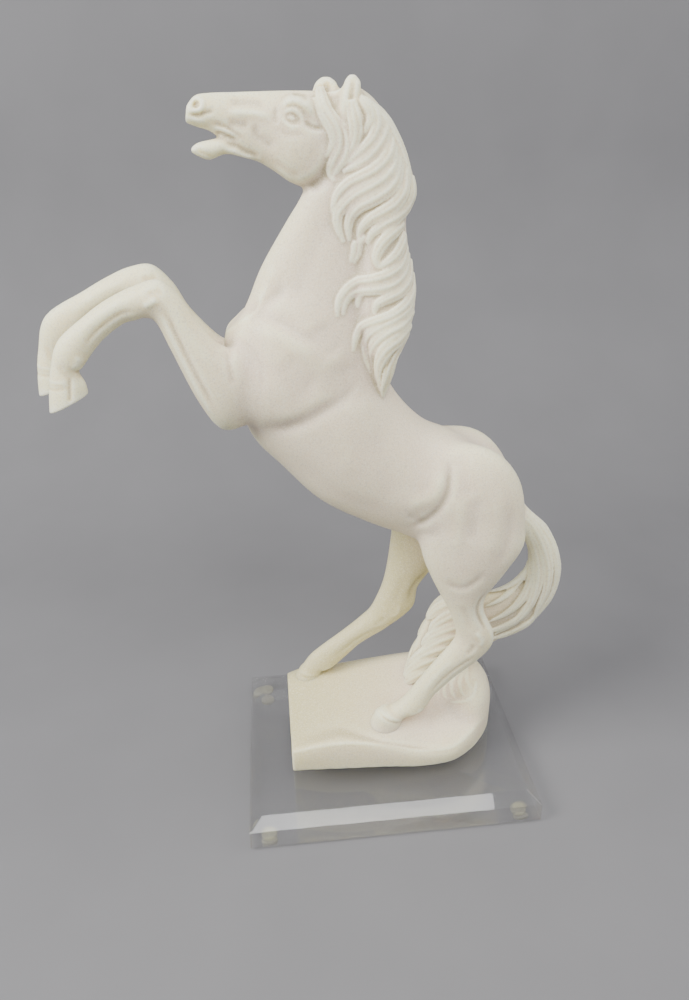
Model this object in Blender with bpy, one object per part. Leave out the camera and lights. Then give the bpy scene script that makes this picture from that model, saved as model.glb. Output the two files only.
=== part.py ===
"""Rearing horse shelf sculpture: frosted castings on a clear bevelled plinth.

X runs from the raised forehooves (-X) to the tail (+X), -Y is the near side and +Z is up.
Lengths are in metres. Outlines of the figure are drawn in millimetres at DRAWN_HEIGHT and scaled.
"""
import math

import bpy
import bmesh
from mathutils import Matrix, Vector

# Plinth and what it stands on
PLINTH_WIDTH = 0.175
PLINTH_DEPTH = 0.144
PLINTH_SIDE = 0.012
BEVEL_RUN = 0.0079
BEVEL_RISE = 0.0059
EDGE_ROUND = 0.0004
FOOT_DIAMETER = 0.0095
FOOT_HEIGHT = 0.0020
FOOT_INSET = 0.0110

# Figure
FIGURE_HEIGHT = 0.3855
DRAWN_HEIGHT = 385.5
DRAWN_BASE = 20.5
FIGURE_SHIFT = 0.0

# Joints between castings
GLUE_GAP = 0.0003
PAD_THICKNESS = 0.0006
PAD_MARGIN = 0.0045
SPIGOT_LENGTH = 0.0060
FORELEG_SPIGOT = 0.0070
HIND_LEG_SPIGOT = 0.0080
TAIL_SPIGOT = 0.0055

ROUND_SIDES = 20
STEPS_BETWEEN = 2

FOOT_TOP = FOOT_HEIGHT
PLINTH_BOTTOM = FOOT_TOP + GLUE_GAP
PLINTH_TOP = PLINTH_BOTTOM + PLINTH_SIDE + BEVEL_RISE
CASTING_BASE = PLINTH_TOP + GLUE_GAP
SCALE = FIGURE_HEIGHT / DRAWN_HEIGHT

# Each station is (belly or front edge x, z, back edge x, z, half width, offset in y), in mm.
TRUNK = [
    (60, 146, 84.5, 181, 17, 0),
    (46, 152, 76, 204.5, 25, 0),
    (28, 161, 56.5, 220, 28.5, 0),
    (12, 170, 41, 229.5, 29, 0),
    (-8.5, 179.5, 25, 237.5, 28.5, 0),
    (-34, 195, 10, 254, 29, 0),
    (-54, 217, -1, 276, 28, 0),
    (-68, 234, -10, 293, 25.5, 0),
    (-75, 256, -18, 306, 23.5, 0),
    (-79.5, 275, -32, 313, 19.5, 0),
    (-77, 291, -52, 312, 12, 0),
]
NECK = [
    (-69, 262, 0, 258, 21, 0),
    (-70, 284, 6, 281, 21.5, 0),
    (-66.5, 301, 9, 300, 18.5, 0),
    (-58, 321, 10.5, 326, 14, 0),
    (-45, 341, 10, 350, 11.5, 0),
    (-36.5, 353, 7, 372, 10.5, 0),
    (-33, 360, -1, 390, 9.5, 0),
    (-30, 370, -12, 398, 8.5, 0),
]
HEAD = [
    (-17, 364, -11, 396, 8, 0),
    (-28, 358, -23, 399, 10.6, 0),
    (-39, 360.5, -35, 399.8, 11.2, 0),
    (-48, 366.5, -45, 400, 9.6, 0),
    (-57, 372, -55, 400, 7.8, 0),
    (-66, 376, -64, 400, 6.6, 0),
    (-75, 383.8, -74, 400, 6, 0),
    (-82.5, 386.5, -81, 399.2, 5.7, 0),
    (-86.5, 388.3, -85, 395.5, 4, 0),
]
LOWER_JAW = [
    (-54, 371, -52, 381, 6, 0),
    (-63, 373.2, -62, 382, 4.8, 0),
    (-70, 374.4, -70, 381.6, 4.2, 0),
    (-77.5, 372.2, -77, 380.6, 4, 0),
    (-83.2, 374.4, -82, 379.6, 3.4, 0),
    (-85.4, 376, -85, 377.8, 1.8, 0),
]
NEAR_EAR = [
    (-15, 385, -3, 388, 3.6, -6.5),
    (-14.5, 394, -4.5, 396, 3.6, -7),
    (-13.5, 401, -7, 402, 2.6, -7),
    (-12, 405.2, -9.8, 405.4, 1, -7),
]
FAR_EAR = [
    (-29, 389, -16, 388, 3.6, 6.5),
    (-28, 397, -15.5, 396.5, 3.6, 7),
    (-25.5, 403, -16.5, 402.5, 2.6, 7),
    (-22.5, 405.8, -19.5, 405.8, 1, 7),
]
NEAR_FORELEG = [
    (-62, 286, -66, 247, 13, -11),
    (-72, 287.5, -82, 244.5, 12, -16),
    (-80.5, 290, -93, 260.5, 10.4, -18),
    (-90.5, 303, -104, 289, 8, -18),
    (-97.5, 315, -108.5, 301, 7.2, -18),
    (-106, 322, -113, 304.5, 7.6, -18),
    (-118, 319.5, -119, 303.5, 6.8, -18),
    (-131, 314, -125, 302, 6, -18),
    (-143, 306.5, -136, 294.5, 5.6, -18),
    (-157, 295.5, -146.5, 283, 6.4, -18),
    (-162.5, 283, -149.5, 279, 5.8, -18),
    (-165, 272, -147.5, 273, 6.8, -18),
    (-166, 261.5, -148.5, 267.5, 7.2, -18),
]
FAR_FORELEG = [
    (-64, 282, -68, 246, 13, 10),
    (-75, 283, -86, 243, 12, 15),
    (-83, 286, -96.5, 256, 10.4, 17),
    (-96, 301, -110, 284.5, 8, 17),
    (-103, 314, -115, 297, 7.2, 17),
    (-112.5, 323.5, -120, 302, 7.6, 17),
    (-124, 323, -126, 304.5, 6.8, 17),
    (-136, 318.5, -131, 303, 6, 17),
    (-149, 312, -143, 297, 5.6, 17),
    (-170, 300.5, -158.5, 285, 6.4, 17),
    (-177, 283, -163.5, 278, 5.8, 17),
    (-180, 270, -163.5, 270, 6.8, 17),
    (-181.8, 258.5, -165, 263, 7.2, 17),
]
NEAR_HIND_LEG = [
    (26, 196, 76, 192, 14, -13),
    (23, 172, 82, 168, 14, -18),
    (25.5, 154, 72, 150, 12.4, -20),
    (33, 136, 61, 134, 9.6, -20),
    (39, 123, 59.5, 122, 8, -20),
    (43.5, 107.5, 66.5, 104, 7.6, -20),
    (40.5, 98.5, 62.5, 92, 7, -20),
    (30.5, 86, 43.5, 75.5, 5.8, -20),
    (20.5, 73, 31.5, 63.5, 5.6, -20.5),
    (11.5, 61.5, 24, 53, 6.2, -21),
    (3.5, 56, 13, 48.5, 6, -21.5),
    (-6, 53.5, 10.5, 46, 7.2, -22),
    (-12.5, 36.5, 8.5, 36.5, 7.8, -22),
]
FAR_HIND_LEG = [
    (17, 196, 70, 190, 14, 13),
    (11.5, 168, 66, 156, 13.5, 18),
    (10, 152, 50, 142, 12, 20),
    (7.5, 134, 36, 130, 9.6, 20),
    (4, 119, 27, 118, 8, 20),
    (-3, 103.5, 24, 103, 7.6, 20),
    (-9.5, 96.5, 11, 91, 7, 20),
    (-21, 87, -9, 78.5, 5.8, 20),
    (-35, 76.7, -20.5, 67.5, 5.6, 20),
    (-44, 69, -28.5, 60.5, 6.2, 20),
    (-49, 62, -36.5, 57.5, 6, 20),
    (-53.5, 56, -37.5, 55.5, 7, 20),
    (-57.3, 46.5, -38, 46.5, 7.6, 20),
]
TAIL = [
    (72, 172, 80, 189, 6, 0),
    (82.5, 163, 90.5, 175, 6.5, 0),
    (87, 153, 101.5, 164, 8.5, 0),
    (84.5, 142, 110.5, 145, 11, 1),
    (77, 130.5, 110.5, 122, 12.5, 2),
    (62, 128, 100, 99, 12.5, 3),
    (43, 122, 83, 85, 12, 4),
    (29, 107, 64, 73, 11, 4),
    (22, 88, 50, 62, 9.5, 4),
    (17, 66, 45, 54, 8.5, 4),
    (16, 46, 44, 46, 8, 4),
]
MANE = [
    (-21, 398, -8, 402, 7, 0),
    (-17.5, 386, 1, 396, 12.5, 0),
    (-19, 371, 10, 384, 13.5, 0),
    (-20, 358, 16.5, 371, 14.5, 0),
    (-19, 344, 20, 358, 16, 0),
    (-12, 330, 16, 342, 17.5, 0),
    (-16, 314, 18.5, 322, 19.5, 0),
    (-18, 300, 21, 304, 22, 0),
    (-12, 288, 18, 290, 24.5, 0),
    (-7, 275, 10.5, 281, 24.5, 0),
]
# Each station is (x, front edge y, front lip z, crest y, crest z, back edge y), in mm.
GROUND = [
    (-60, -32, 36.5, 22, 50.5, 42),
    (-42, -33, 40.5, 22, 54, 43),
    (-22, -34.5, 42, 22, 56, 44),
    (0, -36, 39, 22, 58.5, 44.5),
    (20, -38, 34.5, 21, 61, 44),
    (40, -36, 33, 18, 64, 41),
    (54, -27.5, 36, 14, 63.5, 35),
    (63, -18, 38, 11, 60, 28),
    (69, -9, 36, 8, 50, 20),
    (72, -2, 32, 6, 40, 13),
]

# The station at which each limb is split off from the body.
LEG_JOINT = {"fore": 2, "hind": 3}
TAIL_JOINT = 1


def remove_everything():
    """Empty the file without closing it."""
    for thing in list(bpy.data.objects):
        bpy.data.objects.remove(thing, do_unlink=True)


def finish_material(name, colour, roughness):
    """Return a Principled material of one colour."""
    material = bpy.data.materials.new(name)
    material.use_nodes = True
    shader = material.node_tree.nodes["Principled BSDF"]
    shader.inputs["Base Color"].default_value = (*colour, 1.0)
    shader.inputs["Roughness"].default_value = roughness
    shader.inputs["Metallic"].default_value = 0.0
    material.diffuse_color = (*colour, 1.0)
    return material


def new_object(name, mesh_data, colour, roughness):
    """Turn a bmesh into a linked object with faces that point out."""
    bmesh.ops.recalc_face_normals(mesh_data, faces=mesh_data.faces)
    mesh = bpy.data.meshes.new(name)
    mesh_data.to_mesh(mesh)
    mesh_data.free()
    mesh.shade_smooth()
    mesh.set_sharp_from_angle(angle=math.radians(40))
    thing = bpy.data.objects.new(name, mesh)
    bpy.context.scene.collection.objects.link(thing)
    mesh.materials.append(finish_material(name + "_finish", colour, roughness))
    return thing


def figure_point(x, y, z):
    """Map a drawn point of the figure to its place on the plinth."""
    return Vector((x * SCALE + FIGURE_SHIFT, y * SCALE, CASTING_BASE + (z - DRAWN_BASE) * SCALE))


def blend(a, b, c, d, t):
    """Read a smooth curve through b and c at t, with neighbours a and d."""
    out = []
    for p, q, r, s in zip(a, b, c, d):
        linear = (r - p) * t
        square = (2 * p - 5 * q + 4 * r - s) * t * t
        cube = (3 * q - p - 3 * r + s) * t ** 3
        out.append(q + 0.5 * (linear + square + cube))
    return tuple(out)


def smooth_stations(stations, steps=STEPS_BETWEEN):
    """Fill in stations between the drawn ones."""
    last = len(stations) - 1
    filled = []
    for i in range(last):
        near = stations[max(i - 1, 0)], stations[i], stations[i + 1], stations[min(i + 2, last)]
        filled += [blend(*near, step / steps) for step in range(steps)]
    return filled + [tuple(map(float, stations[last]))]


def ring(station, grow=0.0):
    """Return the ellipse of points of one station, grown all round by a clearance."""
    low = figure_point(station[0], station[5], station[1])
    high = figure_point(station[2], station[5], station[3])
    middle = (low + high) / 2
    reach = (high - low) / 2
    reach *= (reach.length + grow) / reach.length
    side = Vector((0, station[4] * SCALE + grow, 0))
    turns = [2 * math.pi * k / ROUND_SIDES for k in range(ROUND_SIDES)]
    return [middle + reach * math.cos(t) + side * math.sin(t) for t in turns]


def station_normal(station, following):
    """Return the unit normal of a station's plane, towards the following station."""
    across = Vector((station[2] - station[0], 0, station[3] - station[1]))
    normal = across.cross(Vector((0, 1, 0))).normalized()
    onward = Vector((following[0] + following[2] - station[0] - station[2], 0,
                     following[1] + following[3] - station[1] - station[3]))
    return normal if normal.dot(onward) > 0 else -normal


def skin_rings(rings):
    """Skin a row of rings and close both ends with flat faces."""
    form = bmesh.new()
    rows = [[form.verts.new(point) for point in points] for points in rings]
    for first, second in zip(rows, rows[1:]):
        count = len(first)
        for k in range(count):
            n = (k + 1) % count
            form.faces.new((first[k], first[n], second[n], second[k]))
    form.faces.new(rows[0])
    form.faces.new(rows[-1])
    return form


def loft(stations, grow=0.0, start_shift=0.0, end_shift=0.0):
    """Skin a limb through its stations, with its end rings moved along the limb."""
    rings = [ring(station, grow) for station in stations]
    start = station_normal(stations[0], stations[1])
    end = -station_normal(stations[-1], stations[-2])
    rings[0] = [point + start * start_shift for point in rings[0]]
    rings[-1] = [point + end * end_shift for point in rings[-1]]
    return skin_rings(rings)


def bar(centre, direction, radius, length):
    """Return a round bar that starts at centre and runs along direction."""
    form = bmesh.new()
    bmesh.ops.create_cone(form, cap_ends=True, segments=ROUND_SIDES, radius1=radius,
                          radius2=radius, depth=length)
    turn = direction.to_track_quat("Z", "Y").to_matrix().to_4x4()
    place = Matrix.Translation(centre + direction * length / 2)
    bmesh.ops.transform(form, matrix=place @ turn, verts=form.verts)
    return form


def helper(name, form):
    """Return a hidden shape that joins or cuts another."""
    thing = new_object(name, form, (0.5, 0.5, 0.5), 0.5)
    thing.hide_render = True
    thing.display_type = "WIRE"
    return thing


def combine(thing, operation, others):
    """Add or subtract helper shapes with exact Booleans."""
    for other in others:
        change = thing.modifiers.new(operation.lower() + "_" + other.name, "BOOLEAN")
        change.operation = operation
        change.solver = "EXACT"
        change.object = other


def split_limb(stations, joint):
    """Return the stations of the stub left on the body and those of the separate limb."""
    return smooth_stations(stations[:joint + 1]), smooth_stations(stations[joint:])


def joint_centre_and_normal(stations, joint):
    """Return the middle of a limb's joint face and the direction out of the body."""
    here = stations[joint]
    centre = figure_point((here[0] + here[2]) / 2, here[5], (here[1] + here[3]) / 2)
    return centre, station_normal(here, stations[joint + 1])


def spigot(name, stations, joint, diameter, clearance=0.0):
    """Return a limb's spigot, or its socket when a clearance is given."""
    centre, normal = joint_centre_and_normal(stations, joint)
    overlap = 0.002
    start = centre + normal * overlap
    length = overlap + SPIGOT_LENGTH + clearance
    return helper(name, bar(start, -normal, diameter / 2 + clearance, length))


def make_plinth():
    """Clear block with upright sides and a sloping bevel round its top."""
    half_x = PLINTH_WIDTH / 2
    half_y = PLINTH_DEPTH / 2
    side_top = PLINTH_BOTTOM + PLINTH_SIDE
    levels = [(0.0, PLINTH_BOTTOM), (0.0, side_top), (BEVEL_RUN, PLINTH_TOP)]
    rings = []
    for inset, z in levels:
        x = half_x - inset
        y = half_y - inset
        rings.append([Vector((-x, -y, z)), Vector((x, -y, z)), Vector((x, y, z)), Vector((-x, y, z))])
    plinth = new_object("plinth", skin_rings(rings), (0.86, 0.90, 0.93), 0.03)
    soften = plinth.modifiers.new("arris", "BEVEL")
    soften.width = EDGE_ROUND
    soften.segments = 2
    soften.limit_method = "ANGLE"
    return plinth


def make_feet():
    """Four turned bumper feet under the plinth's corners."""
    reach_x = PLINTH_WIDTH / 2 - FOOT_INSET
    reach_y = PLINTH_DEPTH / 2 - FOOT_INSET
    corners = {"front_left": (-1, -1), "front_right": (1, -1), "back_left": (-1, 1), "back_right": (1, 1)}
    for corner, (side_x, side_y) in corners.items():
        form = bar(Vector((0, 0, 0)), Vector((0, 0, 1)), FOOT_DIAMETER / 2, FOOT_HEIGHT)
        foot = new_object("foot_" + corner, form, (0.85, 0.84, 0.74), 0.25)
        foot.location = (side_x * reach_x, side_y * reach_y, 0)
        soften = foot.modifiers.new("rim", "BEVEL")
        soften.width = FOOT_HEIGHT / 4
        soften.segments = 2
        soften.limit_method = "ANGLE"


def ground_section(station):
    """Return one cross-section of the mound: flat base, upright front, sloping top, round back."""
    x, front, lip, crest, top, back = station
    base = DRAWN_BASE
    profile = [
        (front, base), (front - 0.8, base + (lip - base) * 0.45), (front, lip - 3), (front + 2.5, lip),
        (front + (crest - front) * 0.35, lip + (top - lip) * 0.3),
        (front + (crest - front) * 0.7, lip + (top - lip) * 0.78),
        (crest, top), (crest + (back - crest) * 0.55, top - (top - base) * 0.16),
        (crest + (back - crest) * 0.88, top - (top - base) * 0.45), (back, base + (top - base) * 0.2),
        (back, base),
    ]
    return [figure_point(x, y, z) for y, z in profile]


def make_ground():
    """Mound of ground, flat cut at its left end."""
    filled = smooth_stations(GROUND)
    return new_object("ground", skin_rings([ground_section(s) for s in filled]), (0.80, 0.77, 0.70), 0.5)


def pad_outline():
    """Return the outline of the adhesive pad, inside the mound's own outline."""
    margin = PAD_MARGIN / SCALE
    inside = [s for s in smooth_stations(GROUND) if GROUND[0][0] + margin <= s[0] <= GROUND[-2][0] - margin]
    front = [(s[0], s[1] + margin) for s in inside]
    back = [(s[0], s[5] - margin) for s in reversed(inside)]
    return front + back


def pad_form(bottom, top, grow):
    """Return a flat pad between two heights, grown all round by a clearance."""
    outline = [Vector((x * SCALE + FIGURE_SHIFT, y * SCALE)) for x, y in pad_outline()]
    middle = sum(outline, Vector((0, 0))) / len(outline)
    spread = [middle + (p - middle) * (1 + grow / (p - middle).length) for p in outline]
    return skin_rings([[Vector((p.x, p.y, z)) for p in spread] for z in (bottom, top)])


def make_bond_pad(ground):
    """Clear adhesive pad in a shallow recess under the mound."""
    bottom = PLINTH_TOP + GLUE_GAP
    top = bottom + PAD_THICKNESS
    new_object("bond_pad", pad_form(bottom, top, 0.0), (0.88, 0.88, 0.82), 0.3)
    recess = helper("pad_recess", pad_form(CASTING_BASE - 0.001, top + GLUE_GAP, 2 * GLUE_GAP))
    combine(ground, "DIFFERENCE", [recess])


def make_body():
    """Trunk, neck and head in one casting, with stubs and sockets for what is bonded to it."""
    body = new_object("body", loft(smooth_stations(TRUNK)), (0.84, 0.79, 0.75), 0.5)
    parts = {"neck": NECK, "head": HEAD, "lower_jaw": LOWER_JAW, "near_ear": NEAR_EAR, "far_ear": FAR_EAR}
    added = [helper(name + "_form", loft(smooth_stations(s))) for name, s in parts.items()]
    limbs = {
        "left_foreleg": (NEAR_FORELEG, LEG_JOINT["fore"], FORELEG_SPIGOT),
        "right_foreleg": (FAR_FORELEG, LEG_JOINT["fore"], FORELEG_SPIGOT),
        "left_hind_leg": (NEAR_HIND_LEG, LEG_JOINT["hind"], HIND_LEG_SPIGOT),
        "right_hind_leg": (FAR_HIND_LEG, LEG_JOINT["hind"], HIND_LEG_SPIGOT),
        "tail": (TAIL, TAIL_JOINT, TAIL_SPIGOT),
    }
    sockets = []
    for name, (stations, joint, diameter) in limbs.items():
        stub, free = split_limb(stations, joint)
        added.append(helper(name + "_stub", loft(stub)))
        sockets.append(spigot(name + "_socket", stations, joint, diameter, GLUE_GAP))
        limb = new_object(name, loft(free, start_shift=GLUE_GAP), (0.84, 0.81, 0.72), 0.5)
        combine(limb, "UNION", [spigot(name + "_spigot", stations, joint, diameter)])
    combine(body, "UNION", added)
    combine(body, "DIFFERENCE", sockets)
    return body


def make_mane():
    """Carved hair casting that saddles the crest of the neck."""
    mane = new_object("mane", loft(smooth_stations(MANE)), (0.85, 0.80, 0.76), 0.5)
    seats = {"trunk": TRUNK, "neck": NECK, "head": HEAD, "near_ear": NEAR_EAR, "far_ear": FAR_EAR}
    cutters = [helper(name + "_seat", loft(smooth_stations(s), GLUE_GAP, -GLUE_GAP, GLUE_GAP))
               for name, s in seats.items()]
    combine(mane, "DIFFERENCE", cutters)


def cut_pockets(ground):
    """Seat the hind hooves and the end of the tail in the mound."""
    feet = {"near_hoof": NEAR_HIND_LEG, "far_hoof": FAR_HIND_LEG, "tail_end": TAIL}
    cutters = []
    for name, stations in feet.items():
        lowest = smooth_stations(stations[-4:])
        cutters.append(helper(name + "_pocket", loft(lowest, GLUE_GAP, 0.0, GLUE_GAP)))
    combine(ground, "DIFFERENCE", cutters)


def stand_on_origin():
    """Move everything so that the middle of the whole object's footprint box is the origin."""
    graph = bpy.context.evaluated_depsgraph_get()
    corners = []
    for thing in bpy.data.objects:
        if not thing.hide_render:
            solid = thing.evaluated_get(graph)
            corners += [solid.matrix_world @ Vector(corner) for corner in solid.bound_box]
    low = Vector([min(c[i] for c in corners) for i in range(3)])
    high = Vector([max(c[i] for c in corners) for i in range(3)])
    middle = (low + high) / 2
    for thing in bpy.data.objects:
        thing.location -= Vector((middle.x, middle.y, low.z))


def main():
    """Build the sculpture."""
    remove_everything()
    make_plinth()
    make_feet()
    ground = make_ground()
    make_bond_pad(ground)
    make_body()
    make_mane()
    cut_pockets(ground)
    stand_on_origin()


main()
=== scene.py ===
import math

import bpy
import numpy as np
import openvdb
from mathutils import Matrix, Vector


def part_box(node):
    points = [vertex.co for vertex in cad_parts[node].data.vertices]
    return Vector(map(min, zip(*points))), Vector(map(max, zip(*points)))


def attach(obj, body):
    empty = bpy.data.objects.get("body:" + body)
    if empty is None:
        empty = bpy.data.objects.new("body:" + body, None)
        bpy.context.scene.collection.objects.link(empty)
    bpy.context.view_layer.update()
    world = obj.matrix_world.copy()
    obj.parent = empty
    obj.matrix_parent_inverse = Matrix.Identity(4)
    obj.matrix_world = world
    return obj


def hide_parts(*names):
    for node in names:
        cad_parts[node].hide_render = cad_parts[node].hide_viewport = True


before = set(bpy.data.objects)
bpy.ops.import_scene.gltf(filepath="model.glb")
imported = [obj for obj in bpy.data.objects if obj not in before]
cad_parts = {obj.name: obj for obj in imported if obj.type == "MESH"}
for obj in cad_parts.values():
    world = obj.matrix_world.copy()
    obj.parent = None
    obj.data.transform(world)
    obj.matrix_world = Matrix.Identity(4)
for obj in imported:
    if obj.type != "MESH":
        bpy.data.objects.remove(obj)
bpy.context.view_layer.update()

bl_info = {
    "name": "Frosted Rearing Horse",
    "version": (1, 0, 0),
    "blender": (4, 5, 0),
    "location": "3D View > Sidebar > Horse",
    "description": "Sculpts a frosted rearing horse on a clear bevelled plinth",
    "category": "Add Mesh",
}

MM = 0.001
DRAWN_BASE = 20.5
PLINTH_LOW, PLINTH_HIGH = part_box("plinth")
CENTRE_X = (PLINTH_LOW.x + PLINTH_HIGH.x) / 2
CASTING_BASE = PLINTH_HIGH.z + 0.3 * MM

# How far from a skin the clay keeps its distances, and how finely it is worked, in mm.
BAND = 9.0
BODY_GRAIN = 0.5
GROUND_GRAIN = 0.8
BULK_GRAIN = 2.0

# Blocks of clay the pieces are worked from: lowest and highest corner, in drawn mm.
HORSE_BLOCK = ((-186, -36, 18), (116, 36, 410))
TAIL_BLOCK = ((0, -30, 18), (120, 30, 200))
MOUND_BLOCK = ((-66, -46, 12), (80, 52, 75))
BULK_BLOCK = ((-190, -60, 10), (120, 60, 415))
HORSE_TRIANGLES = 194000
MOUND_TRIANGLES = 90000

# How far the hair's cores stay under its locks, and how high the locks ride, in mm.
MANE_SUNK, TAIL_SUNK = 0.9, 2.6
MANE_LIFT, TAIL_LIFT, CURL_LIFT = 0.1, -1.6, -0.2
MANE_SWELL = 1.32
# How far from the middle a lock lies where nothing is under it, in mm.
BARE_DEPTH = 3.0
# Tail locks that only the near side shows, by their place in the list.
NEAR_ONLY = (4, 5)

# How far the thickness of the casting is averaged for its painted glow, and how far ridges and
# forms are felt for painted highlights and shade, in mm.
BULK_SPREAD = 7.0
RIDGE_REACH, FORM_REACH = 1.2, 4.0

CAMERA_AT = (CENTRE_X - 0.0524, -0.4054, 0.3889)
YAW, PITCH, ROLL = 0.081, 0.4527, -0.0334

# Each station is (front edge x, z, back edge x, z, half width, middle y), in mm.
TRUNK = [
    (60, 146, 84.5, 181, 17, 0),
    (46, 152, 76, 204.5, 25, 0),
    (28, 161, 56.5, 220, 28.5, 0),
    (12, 170, 41, 229.5, 29, 0),
    (-8.5, 179.5, 25, 237.5, 28.5, 0),
    (-34, 195, 10, 254, 29, 0),
    (-54, 217, -1, 276, 28, 0),
    (-68, 234, -10, 293, 25.5, 0),
    (-75, 256, -18, 306, 23.5, 0),
    (-79.5, 275, -32, 313, 19.5, 0),
    (-77, 291, -52, 312, 12, 0),
]
NECK = [
    (-69, 262, 0, 258, 21, 0),
    (-70, 284, 6, 281, 21.5, 0),
    (-66.5, 301, 9, 300, 18.5, 0),
    (-58, 321, 10.5, 326, 14, 0),
    (-45, 341, 10, 350, 11.5, 0),
    (-36.5, 353, 7, 372, 10.5, 0),
    (-33, 360, -1, 390, 9.5, 0),
    (-30, 370, -12, 398, 8.5, 0),
]
HEAD = [
    (-17, 364, -11, 396, 8, 0),
    (-28, 358, -23, 399, 10.6, 0),
    (-39, 360.5, -35, 399.8, 11.2, 0),
    (-48, 366.5, -45, 400, 9.6, 0),
    (-57, 372, -55, 400, 7.8, 0),
    (-66, 376, -64, 400, 6.6, 0),
    (-75, 383.8, -74, 400, 6, 0),
    (-82.5, 386.5, -81, 399.2, 5.7, 0),
    (-86.5, 388.3, -85, 395.5, 4, 0),
]
LOWER_JAW = [
    (-54, 371, -52, 381, 6, 0),
    (-63, 373.2, -62, 382, 4.8, 0),
    (-70, 374.4, -70, 381.6, 4.2, 0),
    (-77.5, 372.2, -77, 380.6, 4, 0),
    (-83.2, 374.4, -82, 379.6, 3.4, 0),
    (-85.4, 376, -85, 377.8, 1.8, 0),
]
NEAR_EAR = [
    (-16.5, 384, -7, 385, 3.4, -7.5),
    (-16.8, 391, -7.5, 392, 4.0, -8),
    (-15.6, 397, -6.8, 398, 3.8, -8),
    (-14.2, 401.5, -6.6, 402, 3.0, -7.5),
    (-13.2, 403.6, -7.2, 403.4, 2.0, -7),
    (-11.6, 405.3, -8.8, 405.2, 1.0, -7),
]
FAR_EAR = [
    (-29, 389, -16, 388, 3.6, 6.5),
    (-28.2, 397, -15.2, 396.5, 4, 6.5),
    (-26.5, 402, -16, 402, 3.4, 6.5),
    (-24.8, 404, -17.6, 404, 2.2, 6.5),
    (-22.8, 405.2, -19.6, 405.2, 1.0, 6.5),
]
NEAR_FORELEG = [
    (-62, 286, -66, 247, 13, -11),
    (-72, 287.5, -82, 244.5, 12, -16),
    (-80.5, 290, -93, 260.5, 10.4, -18),
    (-90.5, 303, -104, 289, 8, -18),
    (-97.5, 315, -108.5, 301, 7.2, -18),
    (-106, 322, -113, 304.5, 7.6, -18),
    (-118, 319.5, -119, 303.5, 6.8, -18),
    (-131, 314, -125, 302, 6, -18),
    (-143, 306.5, -136, 294.5, 5.6, -18),
    (-157, 295.5, -146.5, 283, 6.4, -18),
    (-162.5, 283, -149.5, 279, 5.8, -18),
    (-165.5, 271, -147.5, 274, 6.8, -18),
    (-167.4, 259.4, -147, 268.4, 7.6, -18),
]
FAR_FORELEG = [
    (-64, 282, -68, 246, 13, 10),
    (-75, 283, -86, 243, 12, 15),
    (-83, 286, -96.5, 256, 10.4, 17),
    (-96, 301, -110, 284.5, 8, 17),
    (-103, 314, -115, 297, 7.2, 17),
    (-112.5, 323.5, -120, 302, 7.6, 17),
    (-124, 323, -126, 304.5, 6.8, 17),
    (-136, 318.5, -131, 303, 6, 17),
    (-149, 312, -143, 297, 5.6, 17),
    (-170, 300.5, -158.5, 285, 6.4, 17),
    (-177, 283, -163.5, 278, 5.8, 17),
    (-180, 269, -163.5, 270, 6.8, 17),
    (-181.2, 258.0, -164, 264, 7.5, 17),
]
NEAR_HIND_LEG = [
    (26, 196, 76, 192, 14, -13),
    (23, 172, 82, 168, 14, -18),
    (25.5, 154, 72, 150, 12.4, -20),
    (33, 136, 61, 134, 9.6, -20),
    (39, 123, 59.5, 122, 8, -20),
    (43.5, 107.5, 66.5, 104, 7.6, -20),
    (40.5, 98.5, 62.5, 92, 7, -20),
    (30.5, 86, 43.5, 75.5, 5.8, -20),
    (20.5, 73, 31.5, 63.5, 5.6, -20.5),
    (11.5, 61.5, 24, 53, 6.2, -21),
    (3.5, 56, 13, 48.5, 6, -21.5),
    (-6, 53.5, 10.5, 46, 7.2, -22),
    (-12.5, 36.5, 8.5, 36.5, 7.8, -22),
]
FAR_HIND_LEG = [
    (17, 196, 70, 190, 14, 13),
    (11.5, 168, 66, 156, 13.5, 18),
    (10, 152, 50, 142, 12, 20),
    (7.5, 134, 36, 130, 9.6, 20),
    (4, 119, 27, 118, 8, 20),
    (-3, 103.5, 24, 103, 7.6, 20),
    (-9.5, 96.5, 11, 91, 7, 20),
    (-21, 87, -9, 78.5, 5.8, 20),
    (-35, 76.7, -20.5, 67.5, 5.6, 20),
    (-44, 69, -28.5, 60.5, 6.2, 20),
    (-49, 62, -36.5, 57.5, 6, 20),
    (-53.5, 56, -37.5, 55.5, 7, 20),
    (-57.3, 46.5, -38, 46.5, 7.6, 20),
]
TAIL = [
    (72, 172, 80, 189, 6, 0),
    (82.5, 163, 90.5, 175, 6, 0),
    (91, 152, 101.5, 164, 6.5, -1),
    (91, 141, 110.5, 145, 7.5, -2),
    (84, 127.5, 110.5, 122, 8.5, -2),
    (65, 123, 100, 99, 9.5, -1),
    (43, 121, 83, 85, 10.5, 2),
    (30, 107, 64, 73, 10.5, 3),
    (22, 88, 50, 62, 9.5, 4),
    (17, 66, 45, 54, 8.5, 4),
    (16, 46, 44, 46, 8, 4),
]
MANE = [
    (-21, 398, -8, 402, 7, 0),
    (-17.5, 386, 1, 396, 12.5, 0),
    (-19, 371, 10, 384, 13.5, 0),
    (-20, 358, 16.5, 371, 14.5, 0),
    (-19, 344, 20, 358, 16, 0),
    (-12, 330, 16, 342, 17.5, 0),
    (-16, 314, 18.5, 322, 19.5, 0),
    (-18, 300, 21, 304, 22, 0),
    (-12, 288, 18, 290, 24.5, 0),
    (-7, 275, 10.5, 281, 24.5, 0),
    (-5, 266, 7.5, 271, 22, 0),
    (-2, 254, 4, 258, 16, 0),
]
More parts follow.
